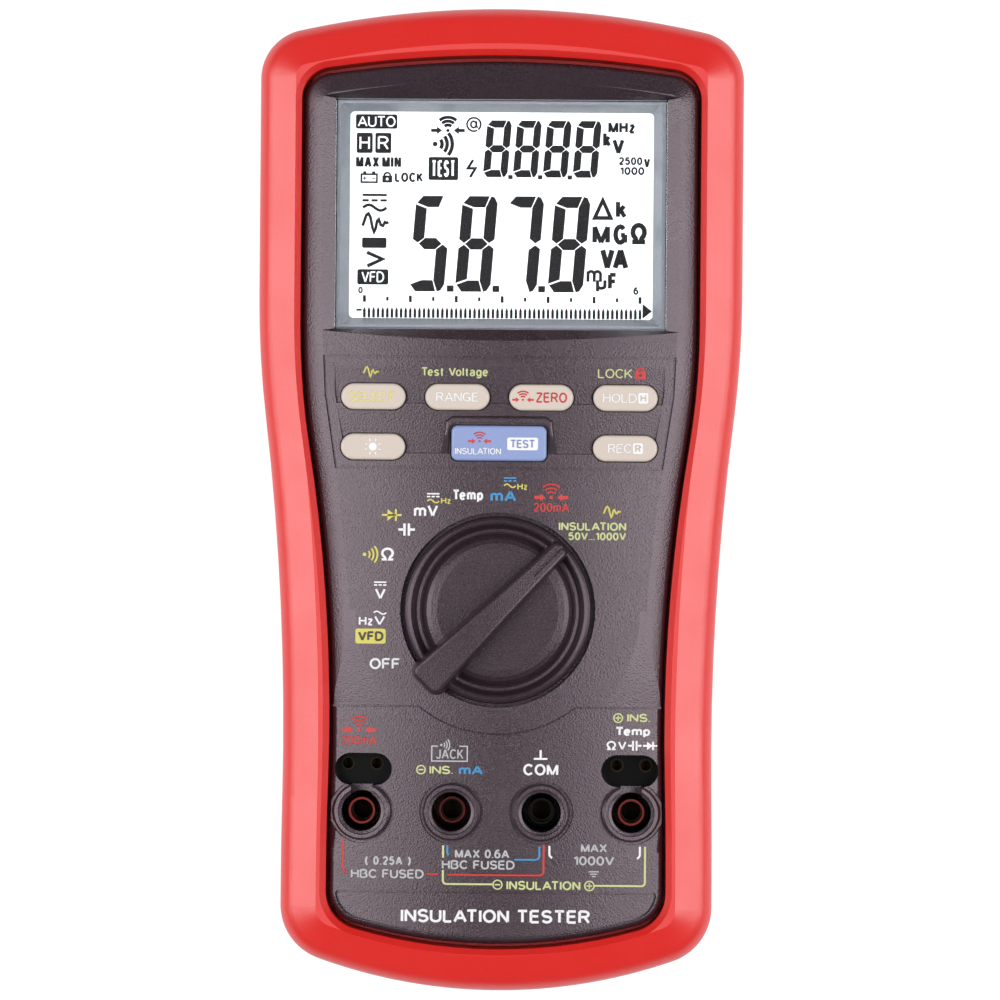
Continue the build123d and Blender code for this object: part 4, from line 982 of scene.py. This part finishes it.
green.append(lettering("50V...1000V", 20.85, -7.6, 12.2, 1.75))
blue.append(lettering("mA", 1.0, 0.8, 5.5, 2.5, stroke=0.22))
blue += direct_sign(2.4, 4.6, 2.65, 0.3, 0.6)
red += zero_sign(11.1, 0.55, 2.75, 0.38)
red.append(lettering("200mA", 11.15, -1.55, 7.5, 2.0, stroke=0.16))

# %% [markdown]
# The jack panel says which jack takes which lead, and coloured lines join the jacks that are used
# together. Each line starts just below its jack.

# %% Jack legends
red += zero_sign(-29.1, -48.85, 2.75, 0.34)
red.append(lettering("200mA", -29.1, -51.0, 7.5, 1.9, stroke=0.16))
grey.append(lettering("JACK", -9.9, -53.8, 5.8, 2.1, stroke=0.13))
jack_frame = [(-7.9, -52.15), (-6.2, -52.15), (-6.2, -55.3), (-13.7, -55.3), (-13.7, -52.15), (-12.4, -52.15)]
grey.append(ink_line(jack_frame, 0.28))
grey += sound_sign(-11.7, -51.9, 1.9, 0.25)
green += polarity_sign(-15.95, -57.15, 0.88, False)
green.append(lettering("INS.", -11.7, -57.2, 4.9, 1.85))
blue.append(lettering("mA", -5.4, -57.15, 5.1, 2.1, stroke=0.23))
white.append(round_patch(9.3, -53.7, 0.45, 1.8, 0.1))
white.append(round_patch(9.3, -54.65, 2.9, 0.4, 0.1))
white.append(lettering("COM", 9.35, -56.95, 7.4, 2.5))
green += polarity_sign(25.6, -45.9, 0.92, True)
green.append(lettering("INS.", 29.9, -45.85, 4.8, 1.85))
white.append(lettering("Temp", 28.7, -48.9, 7.4, 2.4))
white.append(lettering("Ω", 24.2, -51.7, 2.2, 1.95))
white.append(lettering("V", 26.5, -51.7, 1.8, 1.9))
white += capacitor_sign(29.15, -51.7, 2.9, 0.4)
white += diode_sign(32.4, -51.7, 3.0, 0.4)
grey.append(lettering("( 0.25A )", -22.8, -76.5, 9.7, 2.1))
grey.append(lettering("HBC FUSED", -22.9, -79.2, 15.4, 1.95))
grey.append(lettering("MAX 0.6A", -2.9, -74.85, 11.5, 1.95))
grey.append(lettering("HBC FUSED", -3.7, -77.15, 15.4, 1.95))
grey.append(lettering("MAX", 20.7, -73.4, 5.5, 1.85))
grey.append(lettering("1000V", 20.7, -76.1, 8.6, 2.0))
for step in range(3):
    grey.append(round_patch(20.7, -78.4 - 0.5 * step, 2.2 - 0.7 * step, 0.22, 0.05))
LINE = 0.42
jack_lines = [
    (red, [(-32.3, -71.9), (-32.3, -78.0), *arc(-31.3, -78.0, 1.0, 180, 260, 4)]),
    (red, [(-14.6, -79.2), (-12.2, -79.2)]),
    (red, [(-10.2, -79.3), *arc(9.2, -78.4, 0.9, 270, 360, 5), (10.1, -72.8)]),
    (blue, [(-10.25, -73.1), (-10.25, -74.6), *arc(-9.6, -74.6, 0.65, 180, 240, 3)]),
    (blue, [(3.9, -76.0), *arc(8.3, -75.1, 0.9, 270, 360, 5), (9.2, -73.2)]),
    (green, [(-11.15, -73.1), (-11.15, -75.7)]),
    (green, [(-11.15, -78.3), *arc(-10.4, -80.5, 0.75, 180, 270, 5), (-0.7, -81.25)]),
    (green, [(20.9, -81.35), *arc(30.8, -80.65, 0.7, 270, 360, 5), (31.5, -73.0)]),
    (white, [(11.3, -73.0), (11.3, -74.7), *arc(12.2, -74.7, 0.9, 180, 250, 4)]),
    (white, [(30.4, -73.0), (30.4, -74.7), *arc(29.5, -74.7, 0.9, 0, -70, 4)]),
]
for marks, points in jack_lines:
    marks.append(ink_line(points, LINE))
green += polarity_sign(0.4, -81.3, 0.95, False)
green.append(lettering("INSULATION", 10.1, -81.4, 15.6, 1.95))
green += polarity_sign(19.8, -81.4, 0.98, True)
white.append(lettering("INSULATION TESTER", 0.0, -88.0, 40.0, 2.9))

# %% [markdown]
# The keypad panel carries the second functions above their keys. With them the legends on the case
# are complete, so the marks of each colour are joined to one piece and dropped on to the case.

# %% Keypad legends and the printed pieces
yellow += damped_sign(-27.1, 26.8, 3.2, 2.1, 0.32)
green.append(lettering("Test Voltage", -9.5, 26.7, 14.1, 2.3, stroke=0.135))
green.append(lettering("LOCK", 24.4, 26.8, 7.3, 2.0, stroke=0.135))
red.append(round_patch(29.7, 26.45, 2.25, 1.55, 0.25))
red.append(ink_line(arc(29.7, 27.2, 0.75, 0, 180), 0.4))
dark.append(disc(29.7, 26.45, 0.3, lift=OVER))
for name, marks, material in (
    ("print_white", white, ink_white), ("print_yellow", yellow, ink_yellow),
    ("print_pale_green", green, ink_pale_green), ("print_red", red, ink_red),
    ("print_blue", blue, ink_blue), ("print_grey", grey, ink_grey), ("print_dark", dark, ink_dark),
):
    joined(name, marks, material, "root", target="front_case")

# %% [markdown]
# Each key carries its own print, which has to move down with the key. So a label is a piece of its
# own that rides on the key's body.

# %% Key labels
ROW_1, ROW_2 = 21.6, 11.0  # heights of the two rows of keys on the face
joined("label_select", [lettering("SELECT", -26.9, ROW_1, 9.4, 2.1, stroke=0.135)],
       ink_soft_yellow, "select_key", target="select_key")
joined("label_range", [lettering("RANGE", -8.85, ROW_1, 8.9, 2.0, stroke=0.135)],
       ink_white, "range_key", target="range_key")
zero_marks = zero_sign(5.0, ROW_1 - 0.5, 1.75, 0.28)
zero_marks.append(lettering("ZERO", 11.0, ROW_1, 6.6, 2.15, stroke=0.15))
joined("label_zero", zero_marks, ink_red, "zero_key", target="zero_key")
hold_marks = [lettering("HOLD", 25.4, ROW_1, 7.2, 2.0, stroke=0.135)]
hold_marks.append(round_patch(30.35, ROW_1, 2.1, 2.2, 0.3))
joined("label_hold", hold_marks, ink_white, "hold_key", target="hold_key")
joined("label_hold_letter", [lettering("H", 30.35, ROW_1, 1.15, 1.5, lift=OVER, stroke=0.15)],
       ink_cream, "hold_key", target="hold_key")
sun_marks = [disc(-26.6, ROW_2, 0.85)]
for step in range(8):
    turn = radians(45 * step + 22.5)
    ends = [(-26.6 + r * cos(turn), ROW_2 + r * sin(turn)) for r in (1.25, 1.8)]
    sun_marks.append(ink_line(ends, 0.36))
joined("label_backlight", sun_marks, ink_white, "backlight_key", target="backlight_key")
record_marks = [lettering("REC", 25.5, ROW_2, 5.0, 2.0, stroke=0.135)]
record_marks.append(round_patch(29.3, ROW_2, 2.1, 2.2, 0.3))
joined("label_record", record_marks, ink_white, "record_key", target="record_key")
joined("label_record_letter", [lettering("R", 29.3, ROW_2, 1.15, 1.5, lift=OVER, stroke=0.15)],
       ink_cream, "record_key", target="record_key")
test_marks = [lettering("INSULATION", -4.4, 10.2, 9.7, 1.4, stroke=0.15)]
test_marks.append(round_patch(5.0, 11.8, 6.5, 2.65, 0.4))
joined("label_test", test_marks, ink_white, "test_button", target="test_button")
joined("label_test_word", [lettering("TEST", 5.0, 11.8, 5.2, 1.75, lift=OVER, stroke=0.14)],
       ink_test_blue, "test_button", target="test_button")
joined("label_test_zero", zero_sign(-4.1, 12.3, 1.85, 0.26), ink_red, "test_button", target="test_button")
